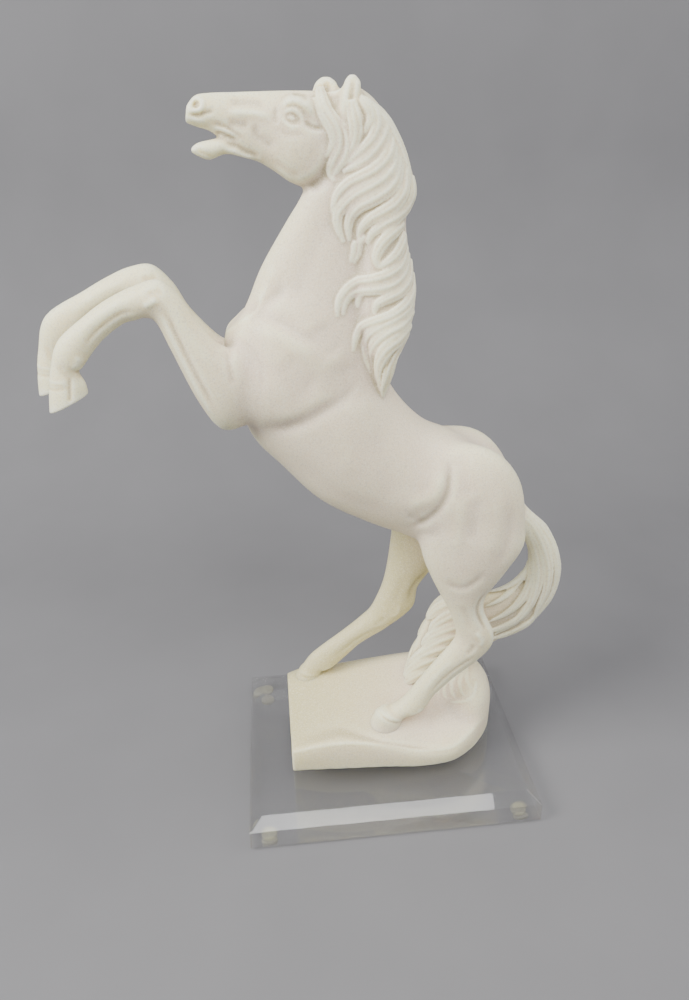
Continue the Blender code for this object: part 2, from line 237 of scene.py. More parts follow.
# Each station is (x, front edge y, front lip z, crest y, crest z, back edge y), in mm.
GROUND = [
    (-60, -32, 36.5, 22, 50.5, 42),
    (-42, -33, 40.5, 22, 54, 43),
    (-22, -34.5, 42, 22, 56, 44),
    (0, -36, 39, 22, 58.5, 44.5),
    (20, -38, 34.5, 21, 61, 44),
    (40, -36, 33, 18, 64, 41),
    (54, -27.5, 36, 14, 63.5, 35),
    (63, -18, 38, 11, 60, 28),
    (69, -9, 36, 8, 50, 20),
    (72, -2, 32, 6, 40, 13),
]


# Rounded masses: (centre x, y, z), (radii along, across, up), tilt in degrees, blend in mm.
MUSCLES = {
    "cheek": ((-34, 4.5, 376), (14, 7.2, 14.5), 0, 2.5),
    "brow": ((-34, 6.5, 393), (7, 4, 4.5), 10, 2.5),
    "shoulder": ((-44, 13, 272), (22, 12.6, 25), 25, 8),
    "upper_arm": ((-58, 14.5, 261), (19, 11, 16), 0, 7),
    "haunch": ((50, 15, 190), (30, 15.5, 36), -12, 8),
    "thigh": ((48, 19, 168), (24, 12, 22), 0, 6),
    "chest": ((-65, 7, 286), (12.5, 9, 13), 20, 6),
}

# Tool marks on both sides of head and body: points (x, z), width, height (below 0 is a groove).
FACE_MARKS = [
    ([(-84.5, 391.6), (-80.5, 391), (-76.5, 392), (-72, 392.8)], 1.0, -0.8),
    ([(-74.5, 381.6), (-71.5, 383.8), (-68, 382.3), (-62.5, 380)], 1.1, -1.0),
    ([(-76, 388), (-71.5, 387), (-67.5, 385.4), (-64, 382.8), (-59.5, 380.5)], 1.4, -0.8),
    ([(-74, 385.6), (-68, 383.8), (-62, 381)], 0.8, 0.7),
    ([(-70.5, 378.8), (-65, 378.2), (-60.5, 375.8), (-56, 374.2), (-52, 373.8)], 1.5, -0.9),
    ([(-70.5, 376.3), (-65, 374.8), (-60.5, 372.8), (-55.5, 371.6)], 1.3, 0.9),
    ([(-54.2, 388), (-54.9, 383.5), (-53, 381), (-50, 379), (-47.5, 375.5)], 2.4, -0.8),
    ([(-68, 391.8), (-60, 391.4), (-54, 391), (-46.5, 388.8)], 1.9, 0.9),
    ([(-68, 396), (-58, 395.8), (-49, 395)], 2.2, -0.7),
    ([(-68, 388), (-62, 386.5), (-57, 386)], 2.0, -0.7),
    ([(-44.6, 394), (-45.8, 390), (-45.4, 386)], 1.2, -0.5),
    ([(-43.8, 391.5), (-40.4, 395.0), (-35.8, 396.2), (-31.3, 393.6), (-28.6, 389.6),
      (-26.8, 385.8)], 1.7, 0.8),
    ([(-42.8, 390.2), (-41, 386.8), (-38, 385.2), (-34.4, 386.2)], 0.7, 0.45),
    ([(-43, 389.8), (-40, 391.6), (-37, 391.4), (-34.4, 389.4), (-33, 386.4)], 0.7, 0.6),
    ([(-41.5, 393.2), (-37.8, 393.8), (-34, 392.2), (-31.8, 389)], 0.8, -0.4),
    ([(-44.5, 385.4), (-41.5, 382.6), (-37.5, 381.7), (-33, 382.8)], 1.4, -0.35),
    ([(-33.5, 387.3), (-31, 385.6), (-27.6, 384.2), (-23.5, 384.3)], 1.2, -1.0),
    ([(-38, 398.6), (-34, 397.6), (-30.5, 395)], 1.6, -0.8),
    ([(-24, 379), (-26, 371), (-31.5, 364.5), (-40, 362.5)], 2.2, 0.6),
    ([(-21, 368), (-26, 362), (-32, 357.5)], 2.6, -1.2),
    ([(-48, 372), (-41, 366.6), (-35, 364)], 1.6, -0.5),
    ([(-83.5, 377.6), (-79.5, 375.2), (-74.5, 373.6)], 0.9, -0.6),
    ([(-86.5, 390.4), (-81, 388.8), (-76, 387.8)], 1.0, 0.5),
]
BODY_MARKS = [
    ([(-67.5, 300), (-73, 294.5), (-75, 288), (-75.2, 281)], 2.4, -0.6),
    ([(-67, 301), (-58, 302), (-48, 298.5), (-36, 291), (-26, 287.5)], 4.0, -1.0),
    ([(-64, 294), (-54, 294.5), (-44, 290.5), (-33, 283)], 5.0, 0.6),
    ([(-44, 316), (-52, 310), (-59, 305), (-65, 299)], 3.0, -0.8),
    ([(-49, 326), (-56, 315), (-62, 306)], 3.4, 0.6),
    ([(-32, 299), (-28, 290), (-23, 281)], 7.0, -0.8),
    ([(-20, 350), (-30, 333), (-38, 317), (-42, 304)], 5.0, -0.6),
    ([(-64, 247.5), (-52, 246), (-40, 250), (-31, 255), (-19, 261.5), (-12, 272)], 3.6, -1.0),
    ([(-58, 254), (-47, 254), (-36, 259), (-25, 267)], 5.0, 0.7),
    ([(-50, 284), (-42, 274), (-33, 266)], 7.5, -0.7),
    ([(-20, 280), (-16, 266), (-10, 254)], 7.5, -0.7),
    ([(-79, 288), (-76.2, 282.5), (-75.8, 277), (-74, 270)], 1.8, -0.6),
    ([(36, 224), (35, 214), (33.8, 206), (31, 199), (26, 192), (20, 186), (12, 182)], 2.6, -1.4),
    ([(30, 219), (28.5, 208), (22, 202), (10, 198)], 4.5, 1.1),
    ([(40, 226), (43, 212), (45, 200)], 5.5, -0.7),
    ([(31, 198), (28, 186), (27, 174)], 4.5, -0.6),
    ([(49, 204), (49, 189), (47, 174)], 4.5, -0.7),
    ([(40, 204), (40.5, 190), (39.5, 180), (36.5, 168)], 4.0, 0.6),
    ([(59, 207), (62, 192), (60, 178), (54, 162)], 5.5, 0.5),
    ([(67, 198), (70, 184), (68, 170), (60, 154)], 4.0, -0.7),
    ([(11, 193), (17, 190), (24, 185)], 2.6, -0.6),
    ([(-6, 246), (-2, 230), (3, 214), (6, 199)], 6.5, -0.7),
    ([(-22, 252), (-21, 234), (-19, 216)], 6.5, 0.5),
    ([(-47, 232), (-34, 214), (-16, 201), (4, 192)], 5.5, -0.6),
    ([(34, 152), (38, 147), (44.5, 145.5), (51, 150), (56, 157)], 2.6, -0.8),
]

# Marks along a limb: points (station, place from front 0 to back 1), width, height.
FORELEG_MARKS = [
    ([(1.3, 0.78), (2.2, 0.66), (3, 0.6), (3.8, 0.55), (4.8, 0.5)], 1.7, -0.8),
    ([(1.2, 0.93), (2.2, 0.82), (3, 0.76), (3.8, 0.72), (4.6, 0.7)], 1.4, 0.6),
    ([(1.6, 0.3), (2.6, 0.3), (3.6, 0.3), (4.3, 0.3)], 3.0, 0.5),
    ([(4.7, 0.35), (5, 0.55), (5.4, 0.62)], 1.6, 0.9),
    ([(4.6, 0.12), (5, 0.3), (5.3, 0.2)], 2.0, -0.6),
    ([(5.5, 0.75), (6.2, 0.62), (7, 0.6), (8, 0.62), (8.6, 0.7)], 1.1, -0.6),
    ([(5.6, 0.3), (6.6, 0.3), (7.8, 0.3), (8.6, 0.35)], 2.2, 0.4),
    ([(8.7, 0.75), (9.1, 0.85), (9.4, 0.7)], 1.8, 0.8),
    ([(9.6, 0.3), (10, 0.5), (10.2, 0.75)], 1.6, -0.4),
    ([(10.5, -0.1), (10.55, 0.3), (10.55, 0.7)], 0.8, 0.35),
    ([(10.85, -0.1), (10.9, 0.35), (10.9, 0.66)], 0.7, -0.35),
    ([(10.0, 0.72), (10.7, 0.66), (11.4, 0.62), (12, 0.6)], 1.2, -0.8),
    ([(9.4, 1.0), (9.9, 1.02)], 1.6, -0.7),
]
HIND_LEG_MARKS = [
    ([(3.2, 0.35), (3.8, 0.42), (4.6, 0.4)], 2.2, -0.5),
    ([(2.6, 0.82), (3.2, 0.78), (3.9, 0.76), (4.7, 0.8)], 1.3, -0.9),
    ([(3.0, 0.95), (3.8, 0.92), (4.8, 0.94), (5.4, 0.97)], 1.4, 0.6),
    ([(4.6, 0.5), (5.0, 0.62), (5.5, 0.6)], 1.8, 0.8),
    ([(5.2, 0.35), (5.6, 0.42), (6.1, 0.4)], 1.6, -0.6),
    ([(5.9, 0.72), (6.5, 0.58), (7.2, 0.56), (8.2, 0.6)], 1.3, -0.6),
    ([(6.0, 0.92), (7, 0.88), (8.2, 0.9)], 1.0, 0.5),
    ([(6.3, 0.25), (7.2, 0.25), (8.3, 0.3)], 1.8, 0.4),
    ([(8.7, 0.8), (9.2, 0.8), (9.6, 0.7)], 1.6, 0.7),
    ([(10.4, -0.1), (10.5, 0.3), (10.5, 0.7), (10.4, 1.1)], 1.0, 0.4),
    ([(10.8, -0.1), (10.9, 0.35), (10.9, 0.7), (10.8, 1.1)], 0.7, -0.5),
]

# Hair locks on the near side: points (x, z), widest half width in mm.
MANE_LOCKS = [
    ([(-27, 396.5), (-24.5, 390), (-21, 384), (-19.7, 379), (-21.3, 375), (-23.6, 372)], 1.9),
    ([(-24, 401), (-24.3, 397), (-22.8, 391.5), (-19, 386), (-17, 381), (-17.2, 375.8),
      (-20.2, 370.2),
      (-22.1, 365.4), (-20.2, 362)], 2.6),
    ([(-17.4, 387), (-14.2, 382), (-13.2, 377), (-14.5, 372), (-17.5, 368), (-20.5, 364)], 2.2),
    ([(-11.5, 395), (-10, 387), (-9.6, 381), (-11.4, 375.6), (-14.5, 370.5)], 2.6),
    ([(-7.4, 396), (-4.7, 393.4), (-2.6, 389.8), (-3.1, 385.7), (-6.6, 381)], 2.2),
    ([(-5.3, 395), (-0.9, 390.7), (0.5, 385.6), (-1.6, 380), (-5.7, 375.5), (-10.4, 372),
      (-15, 368.4)], 2.5),
    ([(0.2, 392), (3.5, 387.5), (4.1, 382.4), (1.1, 376.8), (-3.6, 371.7), (-9.4, 368.2),
      (-15.8, 365.5)], 2.6),
    ([(-3, 393), (3.5, 386.5), (8.6, 378.5), (12.6, 370), (14.8, 362), (14, 355)], 2.9),
    ([(6.3, 384), (6.9, 377), (4.6, 371), (-0.7, 366), (-7.2, 362.8), (-13, 360.3), (-18, 356.2),
      (-20.4, 351), (-20.9, 345.5)], 3.0),
    ([(8.5, 375), (7.9, 368.7), (3.8, 363), (-2.7, 359), (-9.8, 355.4), (-15.8, 351), (-19, 346.4),
      (-19.1, 341), (-16.9, 334.5)], 3.0),
    ([(10.8, 371), (9, 363), (4.3, 357), (-2.8, 353), (-8.8, 350), (-13, 345.6), (-14.3, 340.6),
      (-13.9, 335)], 2.8),
    ([(13.7, 365), (12.6, 357.3), (8.4, 351.4), (2.5, 347.7), (-3.5, 344.6), (-7.8, 340.3),
      (-9.7, 335)], 2.8),
    ([(16.8, 362.5), (16.9, 355.4), (14, 349.4), (8.6, 345), (2.6, 342), (-2.9, 338.3),
      (-5.6, 333.5)], 2.8),
    ([(12.3, 341.4), (7.5, 338.8), (2.7, 335), (-0.4, 330.5), (-1.6, 326), (0.2, 322)], 2.6),
    ([(12.9, 337.4), (11, 332.3), (7.5, 327.3), (2.6, 324), (-1.5, 323)], 2.6),
    ([(-6.4, 337), (-8.9, 333.3), (-10.2, 328.2), (-12.3, 324.5)], 1.5),
    ([(-11.2, 334.6), (-11.9, 330), (-13.8, 325)], 1.3),
    ([(14, 331), (11, 323.8), (4.9, 319.4), (-3.7, 316.8), (-11, 315.4), (-16.7, 312),
      (-20.5, 306.8),
      (-21.6, 300.5)], 2.6),
    ([(15, 327.7), (12.7, 319.7), (6.6, 314.6), (-1.4, 312.6), (-8.8, 311.8), (-14.3, 310.2),
      (-17.5, 306.2), (-18.6, 301)], 2.4),
    ([(5, 311), (-5, 312.3), (-8.8, 310.7), (-10.7, 307.7), (-11.1, 304)], 1.8),
    ([(16.5, 324), (14.7, 316), (9.8, 310.8), (3, 308), (-2, 305.3), (-3.4, 301)], 2.6),
    ([(17.6, 317.7), (16.4, 309.4), (11.5, 303.6), (4.6, 299.6), (-2.3, 297.5), (-8.5, 294.7),
      (-12.4, 290), (-14.2, 283)], 2.8),
    ([(17.8, 309), (14.4, 302.4), (7, 298), (-0.6, 294.6), (-5.6, 290.4), (-7.6, 284.2),
      (-7.1, 277),
      (-5.3, 270.5)], 2.7),
    ([(16.9, 300.4), (10.7, 295.2), (3.2, 292), (-1.9, 287.7), (-4.5, 281.5), (-4.6, 274.4),
      (-2.4, 265)], 3.0),
    ([(15.3, 293.5), (8.4, 288.8), (2.6, 284.7), (-0.6, 279), (-1.6, 271), (-0.2, 261)], 3.2),
    ([(15, 287.6), (8.6, 282), (4.9, 276.5), (3.2, 270), (2, 264), (0.9, 257.5)], 3.4),
]

TAIL_LOCKS = [
    ([(81, 182), (92, 172.5), (101, 161), (106.5, 148), (108.5, 135), (108, 122),
      (104.5, 112.5)], 3.6),
    ([(80, 180), (90, 169), (97.5, 155), (101.5, 140), (101.5, 125), (98.5, 112), (97, 101)], 3.8),
    ([(80, 177), (88, 165), (93.5, 151), (95.5, 136), (93.5, 121), (88, 108), (80, 98),
      (72, 92)], 3.8),
    ([(84, 170), (90, 158), (92.5, 145), (91.5, 131.5), (86, 119), (77, 109.5), (66, 103)], 3.4),
    ([(91, 158), (92, 148.5), (90, 139), (84.5, 129.5), (75.5, 121), (64, 115)], 2.6),
    ([(89.5, 139), (84.5, 132), (76.5, 126.5), (66, 124)], 2.0),
    ([(103, 156), (108.5, 143), (109, 129), (106, 117), (99.5, 107), (93, 97), (86, 89)], 3.0),
    ([(97, 102), (89, 94), (79, 89.5), (70, 88)], 3.0),
    ([(92, 112), (84, 103), (74, 97), (64, 95)], 2.6),
]
FRINGE_LOCKS = [
    ([(62, 127), (51, 125.5), (43, 121.5), (37.5, 115)], 4.4),
    ([(60, 121), (46, 118), (35.5, 112), (29, 104)], 5.0),
    ([(60, 114), (46, 110), (36, 103.5), (30, 95)], 5.2),
    ([(56, 105), (43, 100.5), (33, 94.5), (25.5, 86)], 5.0),
    ([(50, 97), (39, 92.5), (31, 86.5), (24.5, 78)], 4.9),
    ([(44, 88), (33, 83.5), (24.5, 77), (17, 68.5)], 5.0),
    ([(36, 78), (27, 73.5), (20.5, 67), (15, 58.5)], 4.9),
    ([(30, 69), (24, 64), (18.5, 58), (14.5, 51.5)], 4.3),
]
# Swellings of the mound: centre, radii, tilt in degrees, blend in mm.
MOUND_SWELLS = [
    ((4, -15, 31.5), (22, 16, 14), 8, 9),
    ((-46, 20, 40), (16, 14, 14), 0, 7),
    ((58, 4, 44), (14, 22, 18), 0, 8),
]
GROUND_MARKS = [
    ([(-70, 34), (-58, 37), (-43.5, 40.6), (-25.6, 42.6), (-1.6, 38.2), (16.6, 34),
      (40, 30)], 1.3, -0.7),
    ([(16, 58), (32, 48), (48, 40), (64, 35)], 5.0, -0.6),
]
GROUND_CURLS = [
    ([(62, 65), (57, 62.5), (55.4, 59), (57.6, 56)], 1.3),
    ([(57, 63), (51.5, 59), (50.6, 54.8), (52.6, 52)], 1.4),
    ([(52, 61), (46.5, 56.5), (45.4, 52), (47, 49.4)], 1.3),
    ([(47, 59), (41.8, 54), (40.6, 50.2), (42, 47.8)], 1.2),
    ([(43, 57), (37.6, 52.5), (36.4, 49)], 1.1),
    ([(61, 59), (57.5, 53), (51, 49), (44, 47)], 1.0),
]

WORKSHOP = {}


def through(marks, steps):
    """Fill in a smooth row between drawn marks."""
    marks = np.array(marks, float)
    padded = np.vstack([marks[:1], marks, marks[-1:]])
    t = np.arange(steps)[:, None] / steps
    rows = []
    for p, q, r, s in zip(padded, padded[1:], padded[2:], padded[3:]):
        rows.append(q + 0.5 * ((r - p) * t + (2 * p - 5 * q + 4 * r - s) * t ** 2
                               + (3 * q - p - 3 * r + s) * t ** 3))
    return np.vstack(rows + [marks[-1:]])


def at_station(stations, place):
    """Read a limb's smooth station at a fractional place along it."""
    row = through(stations, 10)
    place = np.clip(np.asarray(place, float) * 10, 0, len(row) - 1)
    return np.stack([np.interp(place, np.arange(len(row)), column) for column in row.T], -1)


def skin_rows(rows):
    """Skin a stack of rings, each with the same count of points, and close both ends."""
    rows = np.asarray(rows, float)
    count, sides = rows.shape[:2]
    points = np.vstack([rows.reshape(-1, 3), rows[0].mean(0), rows[-1].mean(0)])
    row, k = np.meshgrid(np.arange(count - 1), np.arange(sides), indexing="ij")
    a = row * sides + k
    b = row * sides + (k + 1) % sides
    faces = [np.stack([a, b, b + sides], -1), np.stack([a, b + sides, a + sides], -1)]
    ring = np.arange(sides)
    after = (ring + 1) % sides
    start = np.full(sides, count * sides)
    last = (count - 1) * sides
    faces += [np.stack([start, after, ring], -1),
              np.stack([start + 1, last + ring, last + after], -1)]
    return points, np.vstack([f.reshape(-1, 3) for f in faces])


def loft(stations, grow=0.0, sides=40, steps=6):
    """Skin a form through its stations, as ellipses."""
    turn = 2 * np.pi * np.arange(sides) / sides
    rows = []
    for x0, z0, x1, z1, half, y in through(stations, steps):
        middle = np.array([(x0 + x1) / 2, y, (z0 + z1) / 2])
        reach = np.array([(x1 - x0) / 2, 0, (z1 - z0) / 2])
        reach *= 1 + grow / np.linalg.norm(reach)
        side = np.array([0, half + grow, 0])
        rows.append(middle + np.outer(np.cos(turn), reach) + np.outer(np.sin(turn), side))
    return skin_rows(rows)


def egg(centre, radii, tilt=0.0):
    """Skin an ellipsoid, tilted about the y axis."""
    rise = np.linspace(0.02, np.pi - 0.02, 22)
    turn = 2 * np.pi * np.arange(36) / 36
    across, along = np.cos(turn), np.sin(turn)
    rows = [np.stack([np.sin(r) * across, np.sin(r) * along, np.full(36, np.cos(r))], -1)
            for r in rise]
    c, s = math.cos(math.radians(tilt)), math.sin(math.radians(tilt))
    rows = np.array(rows) * radii
    rows = np.stack([c * rows[..., 0] + s * rows[..., 2], rows[..., 1],
                     -s * rows[..., 0] + c * rows[..., 2]], -1)
    return skin_rows(rows + np.array(centre, float))


def read_grid(grid, at):
    """Read a grid between its samples, at fractional places."""
    at = np.clip(at, 0, np.array(grid.shape) - 1.001)
    base = at.astype(int)
    part = at - base
    value = np.zeros(len(at))
    for corner in np.ndindex(2, 2, 2):
        weight = np.prod(np.where(np.array(corner) == 1, part, 1 - part), axis=1)
        value += weight * grid[tuple((base + corner).T)]
    return value


class Clay:
    """A block of clay: distances to its skin on a grid, below zero inside, all in mm."""

    def __init__(self, low, high, grain):
        self.grain = grain
        self.origin = np.floor(np.array(low) / grain).astype(int)
        size = np.ceil(np.array(high) / grain).astype(int) - self.origin + 1
        self.field = np.full(size, BAND, np.float32)

    def lattice(self):
        return openvdb.createLinearTransform(voxelSize=self.grain)

    def measure(self, skin):
        """Return the distances to a closed skin, with the windows where they meet the block."""
        points, faces = skin
        level = openvdb.FloatGrid.createLevelSetFromPolygons(
            points.astype(np.float32), triangles=faces.astype(np.uint32),
            transform=self.lattice(), halfWidth=BAND / self.grain)
        low, high = (np.array(c) for c in level.evalActiveVoxelBoundingBox())
        values = np.zeros(high - low + 1, np.float32)
        level.copyToArray(values, ijk=tuple(int(c) for c in low))
        start = np.maximum(low, self.origin)
        stop = np.minimum(high + 1, self.origin + self.field.shape)
        theirs = tuple(slice(a - b, c - b) for a, b, c in zip(start, low, stop))
        mine = tuple(slice(a - b, c - b) for a, b, c in zip(start, self.origin, stop))
        return values[theirs], mine

    def add(self, skin, soften=0.0):
        """Join a form to the clay, with a fillet about as wide as soften."""
        new, mine = self.measure(skin)
        here = self.field[mine]
        merged = np.minimum(here, new)
        if soften:
            near = np.clip(1 - np.abs(here - new) / soften, 0, None)
            near[(here > BAND * 0.99) | (new > BAND * 0.99)] = 0
            merged -= near ** 2 * (soften / 4)
        self.field[mine] = merged

    def cut(self, skin, soften=0.0):
        """Take a form away from the clay, with a soft rim."""
        new, mine = self.measure(skin)
        here = self.field[mine]
        left = np.maximum(here, -new)
        if soften:
            near = np.clip(1 - np.abs(here + new) / soften, 0, None)
            left += near ** 2 * (soften / 4)
        self.field[mine] = left

    def tool(self, points, width, height, near, far):
        """Press a groove or raise a ridge along a path of (x, z), on one side or both."""
        path = through(points, 16)
        length = np.concatenate([[0], np.cumsum(np.linalg.norm(np.diff(path, axis=0), axis=1))])
        spot = np.linspace(0, length[-1], max(int(length[-1] / 0.35), 8))
        path = np.stack([np.interp(spot, length, column) for column in path.T], -1)
        reach = 2.6 * width
        g = self.grain
        low = np.floor((path.min(0) - reach) / g).astype(int)
        high = np.ceil((path.max(0) + reach) / g).astype(int)
        low = np.maximum(low, self.origin[[0, 2]])
        high = np.minimum(high, self.origin[[0, 2]] + np.array(self.field.shape)[[0, 2]] - 1)
        if (high <= low).any():
            return
        x = np.arange(low[0], high[0] + 1) * g
        z = np.arange(low[1], high[1] + 1) * g
        away = (x[:, None, None] - path[:, 0]) ** 2 + (z[None, :, None] - path[:, 1]) ** 2
        nearest = away.argmin(-1)
        along = nearest / (len(path) - 1)
        fade = np.clip(np.minimum(along, 1 - along) * 3.5 + 0.06, 0, 1)
        fade = fade * fade * (3 - 2 * fade)
        press = height * np.exp(-away.min(-1) / width ** 2) * fade
        y = (np.arange(self.field.shape[1]) + self.origin[1]) * g
        side = np.zeros_like(y)
        if near:
            side = np.maximum(side, np.clip((-y - 0.5) / 3, 0, 1))
        if far:
            side = np.maximum(side, np.clip((y - 0.5) / 3, 0, 1))
        i, k = low - self.origin[[0, 2]]
        part = self.field[i:i + len(x), :, k:k + len(z)]
        part -= (press[:, None, :] * side[None, :, None]).astype(np.float32)

    def trim(self, axis, at, above):
        """Cut the clay flat across one axis, and keep what is above or below."""
        spots = (np.arange(self.field.shape[axis]) + self.origin[axis]) * self.grain
        wall = (at - spots if above else spots - at).astype(np.float32)
        shape = [1, 1, 1]
        shape[axis] = -1
        np.maximum(self.field, np.clip(wall, -BAND, BAND).reshape(shape), out=self.field)

    def soften(self, times=1):
        """Rub the whole surface once with a small sponge."""
        for _ in range(times):
            for axis in range(3):
                f = np.moveaxis(self.field, axis, 0)
                f[1:-1] = 0.25 * f[:-2] + 0.5 * f[1:-1] + 0.25 * f[2:]

    def side(self, x, z, sign):
        """Return the y of the skin seen from one side, nan where the clay isn't."""
        i, k = (np.clip(np.round(spots / self.grain).astype(int) - self.origin[axis], 0,
                        self.field.shape[axis] - 1) for spots, axis in ((x, 0), (z, 2)))
        columns = self.field[i, :, k]
        if sign > 0:
            columns = columns[:, ::-1]
        inside = columns < 0
        j = inside.argmax(1)
        rows = np.arange(len(j))
        after = columns[rows, j]
        before = columns[rows, np.maximum(j - 1, 0)]
        step = j - after / np.minimum(after - before, -1e-6)
        if sign > 0:
            step = self.field.shape[1] - 1 - step
        y = (step + self.origin[1]) * self.grain
        y[~inside.any(1)] = np.nan
        return y

    def read(self, points):
        """Return the distance to the surface at any points, in mm."""
        return read_grid(self.field, np.asarray(points) / self.grain - self.origin)

    def slope(self, points, axis):
        """Return how fast the distance grows along one axis."""
        step = np.zeros(3)
        step[axis] = 1.0
        return self.read(points + step) - self.read(points - step)

    def skin(self):
        """Return the points and faces of the clay's surface."""
        grid = openvdb.FloatGrid(BAND)
        grid.transform = self.lattice()
        grid.copyFromArray(self.field, ijk=tuple(int(c) for c in self.origin), tolerance=0.0)
        points, triangles, quads = grid.convertToPolygons(isovalue=0.0, adaptivity=0.0)
        return points, triangles, quads


def place(points):
    """Move points in drawn mm to their place on the plinth, in metres."""
    points = np.array(points, float) * MM
    points[:, 0] += CENTRE_X
    points[:, 2] += CASTING_BASE - DRAWN_BASE * MM
    return points


def link(name, mesh):
    thing = bpy.data.objects.new(name, mesh)
    bpy.context.scene.collection.objects.link(thing)
    return thing


def plain_copy(thing):
    """Turn what an object's modifiers make into its own plain mesh."""
    bpy.context.view_layer.update()
    graph = bpy.context.evaluated_depsgraph_get()
    mesh = bpy.data.meshes.new_from_object(thing.evaluated_get(graph))
    thing.modifiers.clear()
    old = thing.data
    thing.data = mesh
    bpy.data.meshes.remove(old)
    mesh.name = thing.name
    return thing


def fire(name, clay, most):
    """Turn clay into a finished piece with at most so many triangles."""
    points, triangles, quads = clay.skin()
    points = place(points)
    quads = np.asarray(quads)
    if len(triangles):
        raise RuntimeError("the clay's skin has loose triangles")
    a, b, c, d = (points[quads[:, k]] for k in range(4))
    if np.einsum("ij,ij->", a, np.cross(b, c)) + np.einsum("ij,ij->", a, np.cross(c, d)) < 0:
        quads = quads[:, ::-1]
    mesh = bpy.data.meshes.new(name)
    mesh.vertices.add(len(points))
    mesh.vertices.foreach_set("co", points.ravel())
    mesh.loops.add(quads.size)
    mesh.loops.foreach_set("vertex_index", np.ascontiguousarray(quads).ravel().astype(np.int32))
    mesh.polygons.add(len(quads))
    mesh.polygons.foreach_set("loop_start", np.arange(0, quads.size, 4, dtype=np.int32))
    mesh.update(calc_edges=True)
    thing = link(name, mesh)
    if 2 * len(quads) > most:
        thin = thing.modifiers.new("thin", "DECIMATE")
        thin.ratio = most / (2 * len(quads))
        plain_copy(thing)
    thing.data.validate()
    thing.data.shade_smooth()
    return thing


def limb_path(stations, points):
    """Turn (station, place across) marks into (x, z) points."""
    rows = at_station(stations, [p[0] for p in points])
    across = np.array([p[1] for p in points])[:, None]
    return rows[:, 0:2] * (1 - across) + rows[:, 2:4] * across


def carve_ear(clay, stations, side):
    """Hollow an ear on its open side and leave a rim."""
    hollow = [(x0 + 0.36 * (x1 - x0), z0 + 0.5, x0 + 0.74 * (x1 - x0), z1 + 0.5, half * 0.5,
               y + side * half * 1.15) for x0, z0, x1, z1, half, y in stations[:-1]]
    hollow[-1] = (*hollow[-1][:4], 0.4, hollow[-1][5] + side)
    clay.cut(loft(hollow, sides=24), 1.5)


def sculpt_face(clay):
    """Eyes, nostrils and the marks of the head, on both sides."""
    for points, width, height in FACE_MARKS:
        clay.tool(points, width, height, True, True)
    for side in (-1, 1):
        clay.cut(egg((-38.3, side * 11.1, 388.4), (4.0, 1.4, 2.1), 25), 1.4)
        clay.add(egg((-38.2, side * 8.5, 388.4), (2.7, 1.7, 1.6), 20), 0.4)
        clay.cut(egg((-80.9, side * 6.2, 395.7), (2.0, 3.4, 2.3), 0), 0.7)
        clay.tool([(-80.2, 399), (-78, 397.3), (-77.9, 394.5), (-79.7, 392.9), (-84, 393),
                   (-84, 395.7), (-82.4, 398)], 0.8, 0.7, side < 0, side > 0)


def sculpt_horse(clay):
    """Build up the whole horse without its hair."""
    clay.add(loft(TRUNK, sides=64))
    clay.add(loft(NECK), 7)
    clay.add(loft(HEAD), 3)
    clay.add(loft(LOWER_JAW), 1.5)
    for centre, radii, tilt, blend in MUSCLES.values():
        for side in (-1, 1):
            clay.add(egg((centre[0], side * centre[1], centre[2]), radii, tilt), blend)
    for stations in (NEAR_FORELEG, FAR_FORELEG):
        clay.add(loft(stations), 4)
    for stations in (NEAR_HIND_LEG, FAR_HIND_LEG):
        clay.add(loft(stations), 6)
    for stations, side in ((NEAR_EAR, -1), (FAR_EAR, -1)):
        clay.add(loft(stations), 1.5)
        carve_ear(clay, stations, side)
    clay.add(loft(TAIL[:2]), 4)
    sculpt_face(clay)
    for points, width, height in BODY_MARKS:
        clay.tool(points, width, height, True, True)
    limbs = [(NEAR_FORELEG, FORELEG_MARKS, True), (FAR_FORELEG, FORELEG_MARKS, False),
             (NEAR_HIND_LEG, HIND_LEG_MARKS, True), (FAR_HIND_LEG, HIND_LEG_MARKS, False)]
    for stations, marks, near in limbs:
        for points, width, height in marks:
            clay.tool(limb_path(stations, points), width, height, near, not near)
    clay.soften(1)


def lay_on(path, side, block, lift):
    """Lay a path of (x, z) on one side of a block, with the way out at each point."""
    y = block.side(path[:, 0], path[:, 1], side) * side
    known = ~np.isnan(y)
    if not known.any():
        known[:] = True
        y[:] = BARE_DEPTH
    count = np.arange(len(y))
    y = np.interp(count, count[known], y[known])
    weights = np.array([1, 2, 3, 4, 5, 4, 3, 2, 1]) / 25
    y = np.convolve(np.pad(y, 4, mode="edge"), weights, mode="valid")
    points = np.stack([path[:, 0], side * y, path[:, 1]], -1)
    out = np.stack([block.slope(points, axis) for axis in range(3)], -1)
    out = out + np.array([0, 0.4 * side, 0])
    out /= np.linalg.norm(out, axis=1)[:, None]
    return points + out * lift, out


def lock_width(count, widest):
    """Return how wide a lock is along its length: full near the root, drawn out to a tip."""
    t = np.linspace(0, 1, count)
    return widest * np.clip(np.minimum(0.55 + 2.2 * t, 1.0) * (1 - t ** 3) ** 0.7, 0.2, None)


def locks_mesh(locks):
    """Return a wire mesh of lock paths that carries each point's width and way out."""
    points = np.vstack([lock[0] for lock in locks])
    mesh = bpy.data.meshes.new("locks")
    edges = []
    start = 0
    for path, out, width in locks:
        edges += [(start + k, start + k + 1) for k in range(len(path) - 1)]
        start += len(path)
    mesh.from_pydata(points.tolist(), edges, [])
    mesh.attributes.new("lock_width", "FLOAT", "POINT").data.foreach_set(
        "value", np.concatenate([lock[2] for lock in locks]).astype(np.float32))
    mesh.attributes.new("lock_out", "FLOAT_VECTOR", "POINT").data.foreach_set(
        "vector", np.vstack([lock[1] for lock in locks]).astype(np.float32).ravel())
    return mesh


